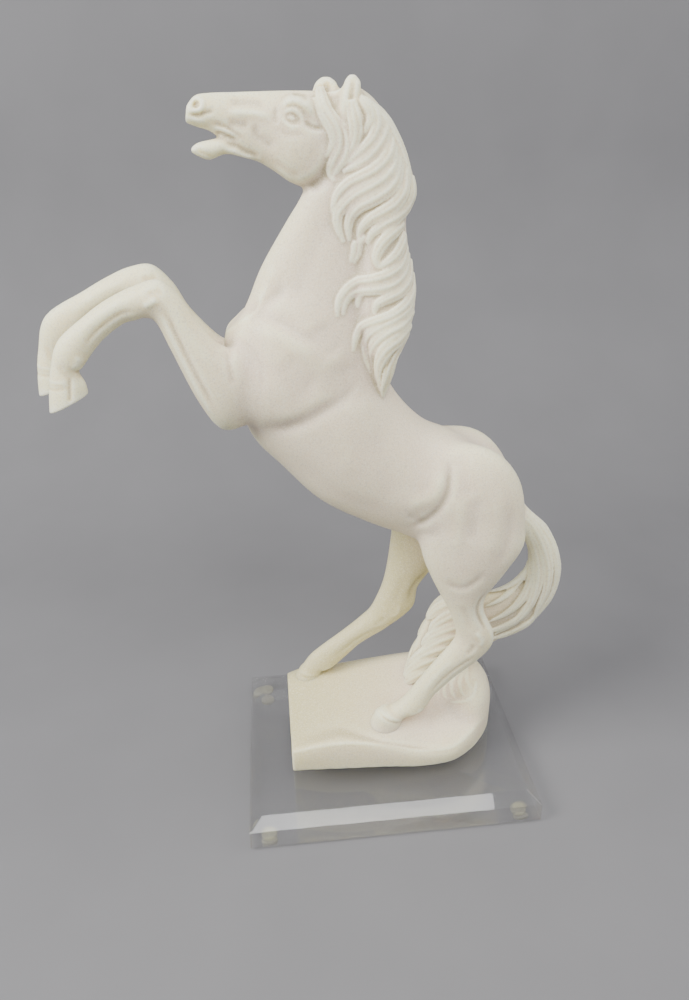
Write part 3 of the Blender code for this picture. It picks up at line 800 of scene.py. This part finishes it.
def comb_tree(material):
    """Node tree that draws a fluted lock of hair along every path it is given."""
    tree = bpy.data.node_groups.new("comb locks", "GeometryNodeTree")
    face = tree.interface
    face.new_socket("Geometry", in_out="INPUT", socket_type="NodeSocketGeometry")
    named = {}
    for name, kind, value in (("Sides", "NodeSocketInt", 22), ("Strands", "NodeSocketInt", 7),
                              ("Strand Depth", "NodeSocketFloat", 0.16),
                              ("Flatness", "NodeSocketFloat", 0.62)):
        socket = face.new_socket(name, in_out="INPUT", socket_type=kind)
        socket.default_value = value
        named[name] = socket.identifier
    face.new_socket("Geometry", in_out="OUTPUT", socket_type="NodeSocketGeometry")
    nodes, links = tree.nodes, tree.links

    def node(kind, **settings):
        made = nodes.new(kind)
        for key, value in settings.items():
            setattr(made, key, value)
        return made

    def maths(operation, *values):
        made = node("ShaderNodeMath", operation=operation)
        for socket, value in zip(made.inputs, values):
            if isinstance(value, (int, float)):
                socket.default_value = value
            else:
                links.new(value, socket)
        return made.outputs[0]

    given = node("NodeGroupInput")
    to_curve = node("GeometryNodeMeshToCurve")
    links.new(given.outputs["Geometry"], to_curve.inputs["Mesh"])
    out = node("GeometryNodeInputNamedAttribute", data_type="FLOAT_VECTOR")
    out.inputs["Name"].default_value = "lock_out"
    width = node("GeometryNodeInputNamedAttribute", data_type="FLOAT")
    width.inputs["Name"].default_value = "lock_width"
    turn_out = node("GeometryNodeSetCurveNormal", mode="FREE")
    links.new(to_curve.outputs["Curve"], turn_out.inputs["Curve"])
    links.new(out.outputs["Attribute"], turn_out.inputs["Normal"])
    circle = node("GeometryNodeCurvePrimitiveCircle")
    circle.inputs["Radius"].default_value = 1.0
    links.new(given.outputs["Sides"], circle.inputs["Resolution"])
    where = node("GeometryNodeInputPosition")
    split = node("ShaderNodeSeparateXYZ")
    links.new(where.outputs[0], split.inputs[0])
    angle = maths("ARCTAN2", split.outputs[1], split.outputs[0])
    wave = maths("COSINE", maths("MULTIPLY", angle, given.outputs["Strands"]))
    swell = maths("ADD", 1.0, maths("MULTIPLY", wave, given.outputs["Strand Depth"]))
    thick = maths("MULTIPLY", maths("MULTIPLY", split.outputs[0], swell), given.outputs["Flatness"])
    wide = maths("MULTIPLY", split.outputs[1], swell)
    joined = node("ShaderNodeCombineXYZ")
    links.new(thick, joined.inputs[0])
    links.new(wide, joined.inputs[1])
    flute = node("GeometryNodeSetPosition")
    links.new(circle.outputs["Curve"], flute.inputs["Geometry"])
    links.new(joined.outputs[0], flute.inputs["Position"])
    tube = node("GeometryNodeCurveToMesh")
    links.new(turn_out.outputs["Curve"], tube.inputs["Curve"])
    links.new(flute.outputs["Geometry"], tube.inputs["Profile Curve"])
    links.new(width.outputs["Attribute"], tube.inputs["Scale"])
    tube.inputs["Fill Caps"].default_value = True
    real = node("GeometryNodeRealizeInstances")
    links.new(tube.outputs["Mesh"], real.inputs["Geometry"])
    paint = node("GeometryNodeSetMaterial")
    paint.inputs["Material"].default_value = material
    links.new(real.outputs["Geometry"], paint.inputs["Geometry"])
    end = node("NodeGroupOutput")
    links.new(paint.outputs["Geometry"], end.inputs["Geometry"])
    return tree, named


def comb(locks, sizes, material):
    """Draw locks with the node tree and return their skin."""
    thing = link("locks", locks_mesh(locks))
    tree, named = comb_tree(material)
    combing = thing.modifiers.new("comb", "NODES")
    combing.node_group = tree
    for name, value in sizes.items():
        combing[named[name]] = value
    plain_copy(thing)
    mesh = thing.data
    mesh.calc_loop_triangles()
    points = np.zeros(len(mesh.vertices) * 3, np.float32)
    mesh.vertices.foreach_get("co", points)
    faces = np.zeros(len(mesh.loop_triangles) * 3, np.int32)
    mesh.loop_triangles.foreach_get("vertices", faces)
    bpy.data.objects.remove(thing)
    bpy.data.meshes.remove(mesh)
    return points.reshape(-1, 3), faces.reshape(-1, 3)


def bulk_map():
    """Return how much casting surrounds each place of the figure, from 0 to 1, on a coarse grid."""
    low, high = (np.array(corner) for corner in BULK_BLOCK)
    shape = ((high - low) / BULK_GRAIN).astype(int) + 1
    solid = np.zeros(shape, np.float32)
    for clay in (WORKSHOP["horse_clay"], WORKSHOP["ground_clay"]):
        index = []
        for axis in range(3):
            spots = low[axis] + np.arange(shape[axis]) * BULK_GRAIN
            index.append(np.round(spots / clay.grain).astype(int) - clay.origin[axis])
        use = [(i >= 0) & (i < clay.field.shape[a]) for a, i in enumerate(index)]
        part = clay.field[np.ix_(*[i[u] for i, u in zip(index, use)])] < 0
        where = np.ix_(*[np.flatnonzero(u) for u in use])
        solid[where] = np.maximum(solid[where], part)
    spread = BULK_SPREAD / BULK_GRAIN
    reach = np.arange(-int(3 * spread), int(3 * spread) + 1)
    kernel = np.exp(-reach ** 2 / (2 * spread ** 2))
    kernel /= kernel.sum()
    for axis in range(3):
        solid = np.apply_along_axis(np.convolve, axis, solid, kernel, mode="same")
    return solid, low


def ball_of_ways():
    """Return fourteen directions spread evenly round a point."""
    ways = [(x, y, z) for x in (-1, 1) for y in (-1, 1) for z in (-1, 1)]
    ways = [np.array(way) / math.sqrt(3) for way in ways]
    for axis in np.eye(3):
        ways += [axis, -axis]
    return ways


def mound_painted_shade(points):
    """Return where the mound gets painted shade: most at its flat end, behind the front lip."""
    along = np.interp(points[:, 0], [GROUND[0][0], 25], [1, 0])
    return along * np.interp(points[:, 1], [-36, -24], [0.3, 1])


def horse_painted_shade(points):
    """Return where the horse gets painted shade: only its far hind leg, which is thin and in the
    shade.
    """
    far = np.interp(points[:, 1], [4, 12], [0, 0.8])
    return far * np.interp(points[:, 2], [165, 195], [1, 0])


def mark_surface(thing, clay, solid, low, painted_shade):
    """Write on every point how thick the casting is, where its painted shade goes, and if it is a
    ridge or a groove, for the painted glow, highlights and shade of its colour.
    """
    mesh = thing.data
    count = len(mesh.vertices)
    points = np.zeros(count * 3, np.float32)
    mesh.vertices.foreach_get("co", points)
    points = points.reshape(-1, 3).astype(float)
    points[:, 0] -= CENTRE_X
    points[:, 2] -= CASTING_BASE - DRAWN_BASE * MM
    points /= MM
    bulk = read_grid(solid, (points - low) / BULK_GRAIN)
    # Painted shade: clear marks where shade is painted, and there the thickness is lowered so the
    # painted glow turns creamier.
    clear = painted_shade(points)
    bulk = bulk * (1 - 0.7 * clear)
    # Ridges, grooves and broad forms, read for painted highlights and painted shade.
    here = clay.read(points)
    fine = sum(clay.read(points + RIDGE_REACH * way) for way in ball_of_ways()) / 14 - here
    broad = sum(clay.read(points + FORM_REACH * way) for way in ball_of_ways()) / 14 - here
    # Each mark runs from 0 to 1 over the range that the castings have.
    marks = {"bulk": bulk * 1.9 - 0.12, "relief": 0.5 + 3.0 * fine, "form": 0.5 + 0.6 * broad,
             "painted_shade": clear}
    for name, value in marks.items():
        made = mesh.attributes.new(name, "FLOAT", "POINT")
        made.data.foreach_set("value", np.clip(value, 0, 1).astype(np.float32))


def ground_block(clay):
    """Model the mound from its cross-sections."""
    rows = []
    for x, front, lip, crest, top, back in through(GROUND, 6):
        base = DRAWN_BASE
        profile = [(front, base), (front - 0.8, base + (lip - base) * 0.45), (front, lip - 3),
                   (front + 2.5, lip), (front + (crest - front) * 0.35, lip + (top - lip) * 0.3),
                   (front + (crest - front) * 0.7, lip + (top - lip) * 0.78), (crest, top),
                   (crest + (back - crest) * 0.55, top - (top - base) * 0.16),
                   (crest + (back - crest) * 0.88, top - (top - base) * 0.45),
                   (back, base + (top - base) * 0.2), (back, base)]
        outline = through(profile, 4)
        rows.append([(x, y, max(z, base)) for y, z in outline])
    clay.add(skin_rows(rows))


class Finish:
    """A finish being mixed: a material with the parts that feed its shader."""

    def __init__(self, name, **values):
        self.material = bpy.data.materials.new(name)
        self.material.use_nodes = True
        self.tree = self.material.node_tree
        self.shader = self.tree.nodes["Principled BSDF"]
        for socket, value in values.items():
            self.shader.inputs[socket.replace("_", " ")].default_value = value

    def node(self, kind, **values):
        made = self.tree.nodes.new(kind)
        for socket, value in values.items():
            made.inputs[socket.replace("_", " ")].default_value = value
        return made

    def feed(self, socket, value):
        self.tree.links.new(value, self.shader.inputs[socket])

    def painted(self, name):
        """A mark that the piece carries on its points."""
        made = self.node("ShaderNodeAttribute")
        made.attribute_name = name
        return made.outputs["Fac"]

    def noise(self, scale, detail, rough=0.5):
        """Noise on Object coordinates."""
        made = self.node("ShaderNodeTexNoise", Scale=scale, Detail=detail, Roughness=rough)
        where = self.node("ShaderNodeTexCoord")
        self.tree.links.new(where.outputs["Object"], made.inputs["Vector"])
        return made.outputs["Fac"]

    def remap(self, value, low, high, to_low, to_high):
        made = self.node("ShaderNodeMapRange", From_Min=low, From_Max=high, To_Min=to_low,
                         To_Max=to_high)
        self.tree.links.new(value, made.inputs["Value"])
        return made.outputs["Result"]

    def mix(self, factor, first, second):
        """Mix two colours, each a tuple or another node's output."""
        made = self.node("ShaderNodeMix")
        made.data_type = "RGBA"
        for socket, value in (("Factor", factor), ("A", first), ("B", second)):
            target = [s for s in made.inputs if s.name == socket and s.enabled][0]
            if isinstance(value, bpy.types.NodeSocket):
                self.tree.links.new(value, target)
            else:
                target.default_value = (*value[:3], 1)
        return [s for s in made.outputs if s.enabled][0]

    def tint(self, base, value, low, high, most, colour):
        """Lay a colour over a base as a value goes from low to high."""
        return self.mix(self.remap(value, low, high, 0.0, most), base, colour)

    def bump(self, height, strength, distance):
        made = self.node("ShaderNodeBump", Strength=strength, Distance=distance)
        self.tree.links.new(height, made.inputs["Height"])
        self.feed("Normal", made.outputs["Normal"])


def frosted_resin(settings):
    """Cast resin with a blasted surface: a creamy painted glow where thin, warm grey where thick,
    with painted highlights on ridges and broad forms and painted shade in grooves, hollows and on
    the far hind leg.
    """
    finish = Finish("frosted resin", IOR=1.49, Specular_IOR_Level=0.4, Subsurface_Weight=0.85,
                    Subsurface_Radius=(1.0, 0.97, 0.9), Subsurface_Scale=0.003)
    # Painted glow: thin parts get the creamy colour of light passing through them, thick parts the
    # warm grey.
    body = finish.mix(finish.painted("bulk"), settings.thin_colour, settings.thick_colour)
    layers = [
        (finish.noise(45, 3), 0.35, 0.7, 0.3, (0.88, 0.81, 0.60)),
        # Painted highlight on broad convex forms and painted shade in broad hollows.
        (finish.painted("form"), 0.55, 0.95, 0.5, (0.96, 0.90, 0.62)),
        (finish.painted("form"), 0.5, 0.2, 0.55, (0.58, 0.50, 0.38)),
        # Painted highlight on fine ridges and painted shade in grooves.
        (finish.painted("relief"), 0.53, 0.8, 0.8, (1.0, 0.97, 0.70)),
        (finish.painted("relief"), 0.47, 0.1, 0.75, (0.56, 0.48, 0.27)),
        # Painted shade: a dark olive tint on the far hind leg and the mound's flat end.
        (finish.painted("painted_shade"), 0.0, 1.0, 0.85, (0.60, 0.54, 0.26)),
        # Bright grit of the blasted surface, partly its grain and partly painted glints, and dark
        # pits of its grain.
        (finish.noise(1500, 2, 0.7), 0.48, 0.66, 0.5, (1.0, 0.97, 0.86)),
        (finish.noise(1150, 2, 0.6), 0.5, 0.3, 0.4, (0.50, 0.45, 0.38)),
    ]
    for value, low, high, most, colour in layers:
        body = finish.tint(body, value, low, high, most, colour)
    finish.feed("Base Color", body)
    finish.feed("Roughness", finish.remap(finish.noise(800, 3), 0.3, 0.7, 0.4, 0.58))
    finish.bump(finish.noise(1900, 3, 0.65), 0.4, 0.00012)
    return finish.material


def clear_acrylic():
    """Polished clear block with a few handling marks."""
    finish = Finish("clear acrylic", Transmission_Weight=1.0, Alpha=0.46, IOR=1.49, Coat_Weight=0.8,
                    Coat_IOR=1.6)
    finish.feed("Roughness", finish.remap(finish.noise(60, 4, 0.6), 0.5, 0.75, 0.0, 0.02))
    finish.feed("Base Color", finish.tint((0.99, 0.995, 0.995), finish.noise(12, 2), 0.3, 0.7, 1.0,
                                          (1.0, 1.0, 1.0)))
    finish.bump(finish.noise(25, 2, 0.4), 0.05, 0.0001)
    return finish.material


def clear_adhesive():
    """Set glue under the mound, a little cloudy."""
    finish = Finish("set adhesive", Transmission_Weight=0.85, IOR=1.46)
    cloud = finish.noise(140, 4)
    finish.feed("Roughness", finish.remap(cloud, 0.3, 0.7, 0.12, 0.4))
    finish.feed("Base Color", finish.tint((0.93, 0.93, 0.9), cloud, 0.35, 0.65, 1,
                                          (0.8, 0.8, 0.76)))
    return finish.material


def clear_vinyl():
    """Soft bumper feet, yellowed a little."""
    finish = Finish("bumper vinyl", Transmission_Weight=0.35, IOR=1.5)
    finish.feed("Base Color", finish.tint((0.66, 0.64, 0.44), finish.noise(400, 3), 0.35, 0.65, 1,
                                          (0.54, 0.52, 0.34)))
    finish.feed("Roughness", finish.remap(finish.noise(900, 2), 0.3, 0.7, 0.25, 0.5))
    return finish.material


def give(thing, material):
    thing.data.materials.clear()
    thing.data.materials.append(material)


def keep(thing, slot_name, *nodes):
    """Fix a finished piece to the frame."""
    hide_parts(*nodes)
    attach(thing, "root")


class HorseSettings(bpy.types.PropertyGroup):
    """Sizes and colours of the casting."""

    lock_swell: bpy.props.FloatProperty(
        name="Lock Width", description="Width of the carved locks, against their drawn width",
        default=1.0, min=0.5, max=1.5)
    strands: bpy.props.IntProperty(
        name="Strands", description="Flutes round each lock of hair", default=7, min=3, max=12)
    strand_depth: bpy.props.FloatProperty(
        name="Strand Depth", description="Depth of the flutes, as a share of the lock's width",
        default=0.1, min=0.0, max=0.4)
    flatness: bpy.props.FloatProperty(
        name="Flatness", description="Thickness of a lock of hair against its width",
        default=0.55, min=0.2, max=1.0)
    # The thin colour is a painted glow of light passing through thin parts; the thick colour is
    # where that glow fades.
    thin_colour: bpy.props.FloatVectorProperty(
        name="Thin Colour", description="Colour of the casting where it is thin",
        subtype="COLOR", size=3, min=0, max=1, default=(0.99, 0.92, 0.46))
    thick_colour: bpy.props.FloatVectorProperty(
        name="Thick Colour", description="Colour of the casting where it is thick",
        subtype="COLOR", size=3, min=0, max=1, default=(0.82, 0.68, 0.56))


class StageSettings(bpy.types.PropertyGroup):
    """Floor, light and camera."""

    floor_colour: bpy.props.FloatVectorProperty(
        name="Floor Colour", description="Colour of the floor and backdrop",
        subtype="COLOR", size=3, min=0, max=1, default=(0.175, 0.175, 0.185))
    lens: bpy.props.FloatProperty(
        name="Lens", description="Focal length on a 36 mm sensor", default=28.44, min=15, max=120,
        unit="CAMERA")
    key_power: bpy.props.FloatProperty(
        name="Key Light", description="Power of the large soft light", default=23.0, min=0,
        unit="POWER")


class HORSE_OT_stage(bpy.types.Operator):
    """Set the floor, the lights and the camera"""

    bl_idname = "horse.stage"
    bl_label = "Set Stage"

    def execute(self, context):
        settings = context.scene.horse_stage
        half, back, top, bend = 1.6, 0.62, 1.5, 0.35
        profile = [(-1.6, 0.0), (back - bend, 0.0)]
        profile += [(back - bend + bend * math.sin(a), bend - bend * math.cos(a))
                    for a in np.linspace(0, math.pi / 2, 13)[1:]]
        profile += [(back, top)]
        verts = [(x, y, z) for y, z in profile for x in (-half, half)]
        faces = [(2 * k, 2 * k + 1, 2 * k + 3, 2 * k + 2) for k in range(len(profile) - 1)]
        mesh = bpy.data.meshes.new("floor")
        mesh.from_pydata(verts, [], faces)
        mesh.shade_smooth()
        floor = link("floor", mesh)
        paper = Finish("backdrop paper", Roughness=0.8)
        colour = settings.floor_colour
        paper.feed("Base Color", paper.tint(colour, paper.noise(9, 3), 0.35, 0.65, 1,
                                            tuple(c * 1.06 for c in colour)))
        give(floor, paper.material)

        world = bpy.data.worlds.new("soft room")
        context.scene.world = world
        world.use_nodes = True
        world.node_tree.nodes["Background"].inputs["Color"].default_value = (0.96, 0.97, 1.0, 1)
        world.node_tree.nodes["Background"].inputs["Strength"].default_value = 0.5
        lights = [
            ("window", (-0.85, -0.42, 0.98), 0.7, settings.key_power, (1.0, 0.98, 0.94)),
            ("top", (0.12, -0.87, 1.33), 0.62, settings.key_power * 0.5, (1.0, 1.0, 1.0)),
            ("fill", (0.8, -0.2, 0.9), 0.9, settings.key_power * 0.3, (1.0, 0.97, 0.93)),
        ]
        for name, where, size, power, colour in lights:
            data = bpy.data.lights.new(name, "AREA")
            data.shape = "DISK"
            data.size = size
            data.energy = power
            data.color = colour
            lamp = bpy.data.objects.new(name, data)
            context.scene.collection.objects.link(lamp)
            lamp.location = where
            aim = Vector((CENTRE_X, 0, 0.2)) - lamp.location
            lamp.rotation_euler = aim.to_track_quat("-Z", "Y").to_euler()

        data = bpy.data.cameras.new("camera")
        data.sensor_width = 36
        data.lens = settings.lens
        camera = bpy.data.objects.new("camera", data)
        context.scene.collection.objects.link(camera)
        level = math.cos(PITCH)
        ahead = Vector((math.sin(YAW) * level, math.cos(YAW) * level, -math.sin(PITCH)))
        right = Vector((math.cos(YAW), -math.sin(YAW), 0))
        up = right.cross(ahead)
        turned = math.cos(ROLL) * right + math.sin(ROLL) * up
        stood = -math.sin(ROLL) * right + math.cos(ROLL) * up
        facing = Matrix((turned, stood, -ahead)).transposed().to_4x4()
        camera.matrix_world = Matrix.Translation(CAMERA_AT) @ facing
        context.scene.camera = camera
        return {"FINISHED"}


def lock_sizes(settings):
    return {"Sides": 28, "Strands": settings.strands, "Strand Depth": settings.strand_depth,
            "Flatness": settings.flatness}


def mane_locks(clay, settings):
    """Lay the mane's and forelock's locks on both sides of the neck."""
    locks = []
    for side in (-1, 1):
        for number, (points, widest) in enumerate(MANE_LOCKS):
            path = through(points, 8)
            if side > 0:
                path = path + [0.8 * math.sin(number), 1.2 * math.cos(1.7 * number)]
            path, out = lay_on(path, side, clay, MANE_LIFT)
            width = lock_width(len(path), MANE_SWELL * widest * settings.lock_swell)
            locks.append((path, out, width))
    return locks


def tail_locks(core, settings):
    """Lay the tail's locks on both sides of its core, and the fringe in front of it."""
    locks = []
    for side in (-1, 1):
        for number, (points, widest) in enumerate(TAIL_LOCKS + FRINGE_LOCKS):
            path = through(points, 8)
            if side > 0 and number in NEAR_ONLY:
                continue
            if side > 0:
                path = path + [0.6 * math.sin(2 * number), 1.4 * math.cos(number)]
            path, out = lay_on(path, side, core, TAIL_LIFT)
            locks.append((path, out, lock_width(len(path), widest * settings.lock_swell)))
    return locks


class HORSE_OT_figure(bpy.types.Operator):
    """Sculpt the horse with its mane and tail"""

    bl_idname = "horse.figure"
    bl_label = "Sculpt Horse"

    def execute(self, context):
        settings = context.scene.horse_casting
        WORKSHOP["frost"] = frosted_resin(settings)
        clay = Clay(*HORSE_BLOCK, BODY_GRAIN)
        sculpt_horse(clay)
        clay.add(loft(MANE, -MANE_SUNK), 2.5)
        sizes = lock_sizes(settings)
        hair = comb(mane_locks(clay, settings), sizes, WORKSHOP["frost"])
        clay.add(hair, 1.0)
        core = Clay(*TAIL_BLOCK, BODY_GRAIN)
        core.add(loft(TAIL))
        hair = comb(tail_locks(core, settings), sizes, WORKSHOP["frost"])
        clay.add(loft(TAIL, -TAIL_SUNK), 1.5)
        clay.add(hair, 0.8)
        WORKSHOP["horse_clay"] = clay
        horse = fire("horse_figure", clay, HORSE_TRIANGLES)
        give(horse, WORKSHOP["frost"])
        keep(horse, "frosted_resin", "body", "left_foreleg", "right_foreleg", "left_hind_leg",
             "right_hind_leg", "mane", "tail")
        WORKSHOP["horse"] = horse
        return {"FINISHED"}


class HORSE_OT_ground(bpy.types.Operator):
    """Model the mound under the hind hooves"""

    bl_idname = "horse.ground"
    bl_label = "Model Ground"

    def execute(self, context):
        settings = context.scene.horse_casting
        clay = Clay(*MOUND_BLOCK, GROUND_GRAIN)
        ground_block(clay)
        for centre, radii, tilt, blend in MOUND_SWELLS:
            clay.add(egg(centre, radii, tilt), blend)
        clay.trim(0, GROUND[0][0], True)
        clay.trim(2, DRAWN_BASE, True)
        for points, width, height in GROUND_MARKS:
            clay.tool(points, width, height, True, False)
        curls = []
        for points, widest in GROUND_CURLS:
            path, out = lay_on(through(points, 8), -1, clay, CURL_LIFT)
            curls.append((path, out, lock_width(len(path), widest * settings.lock_swell)))
        clay.add(comb(curls, lock_sizes(settings), WORKSHOP["frost"]), 0.8)
        WORKSHOP["ground_clay"] = clay
        ground = fire("ground_mound", clay, MOUND_TRIANGLES)
        give(ground, WORKSHOP["frost"])
        keep(ground, "frosted_resin", "ground")
        WORKSHOP["ground"] = ground
        return {"FINISHED"}


class HORSE_OT_base(bpy.types.Operator):
    """Finish the clear plinth, its feet and the glue"""

    bl_idname = "horse.base"
    bl_label = "Finish Base"

    def execute(self, context):
        give(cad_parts["plinth"], clear_acrylic())
        give(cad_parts["bond_pad"], clear_adhesive())
        vinyl = clear_vinyl()
        for name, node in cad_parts.items():
            if name.startswith("foot_"):
                give(node, vinyl)
        return {"FINISHED"}


class HORSE_OT_tint(bpy.types.Operator):
    """Mark how thick each casting is, its ridges, grooves and painted shade, for a colour with
    painted glow, highlights and shade
    """

    bl_idname = "horse.tint"
    bl_label = "Tint Castings"

    def execute(self, context):
        solid, low = bulk_map()
        for name, painted_shade in (("horse", horse_painted_shade), ("ground", mound_painted_shade)):
            mark_surface(WORKSHOP[name], WORKSHOP[name + "_clay"], solid, low, painted_shade)
        return {"FINISHED"}


class HORSE_PT_panel(bpy.types.Panel):
    """Lists what can be made"""

    bl_idname = "HORSE_PT_panel"
    bl_label = "Frosted Horse"
    bl_space_type = "VIEW_3D"
    bl_region_type = "UI"
    bl_category = "Horse"

    def draw(self, context):
        for settings in (context.scene.horse_casting, context.scene.horse_stage):
            for name in settings.__annotations__:
                self.layout.prop(settings, name)
        for maker in MAKERS:
            self.layout.operator(maker.bl_idname)


MAKERS = (HORSE_OT_stage, HORSE_OT_figure, HORSE_OT_ground, HORSE_OT_base, HORSE_OT_tint)
CLASSES = (HorseSettings, StageSettings, *MAKERS, HORSE_PT_panel)


def register():
    for kind in CLASSES:
        bpy.utils.register_class(kind)
    bpy.types.Scene.horse_casting = bpy.props.PointerProperty(type=HorseSettings)
    bpy.types.Scene.horse_stage = bpy.props.PointerProperty(type=StageSettings)


def unregister():
    del bpy.types.Scene.horse_stage
    del bpy.types.Scene.horse_casting
    for kind in reversed(CLASSES):
        bpy.utils.unregister_class(kind)


def main():
    """Make every piece in order."""
    register()
    bpy.ops.horse.stage()
    bpy.ops.horse.figure()
    bpy.ops.horse.ground()
    bpy.ops.horse.base()
    bpy.ops.horse.tint()


if __name__ == "__main__":
    main()
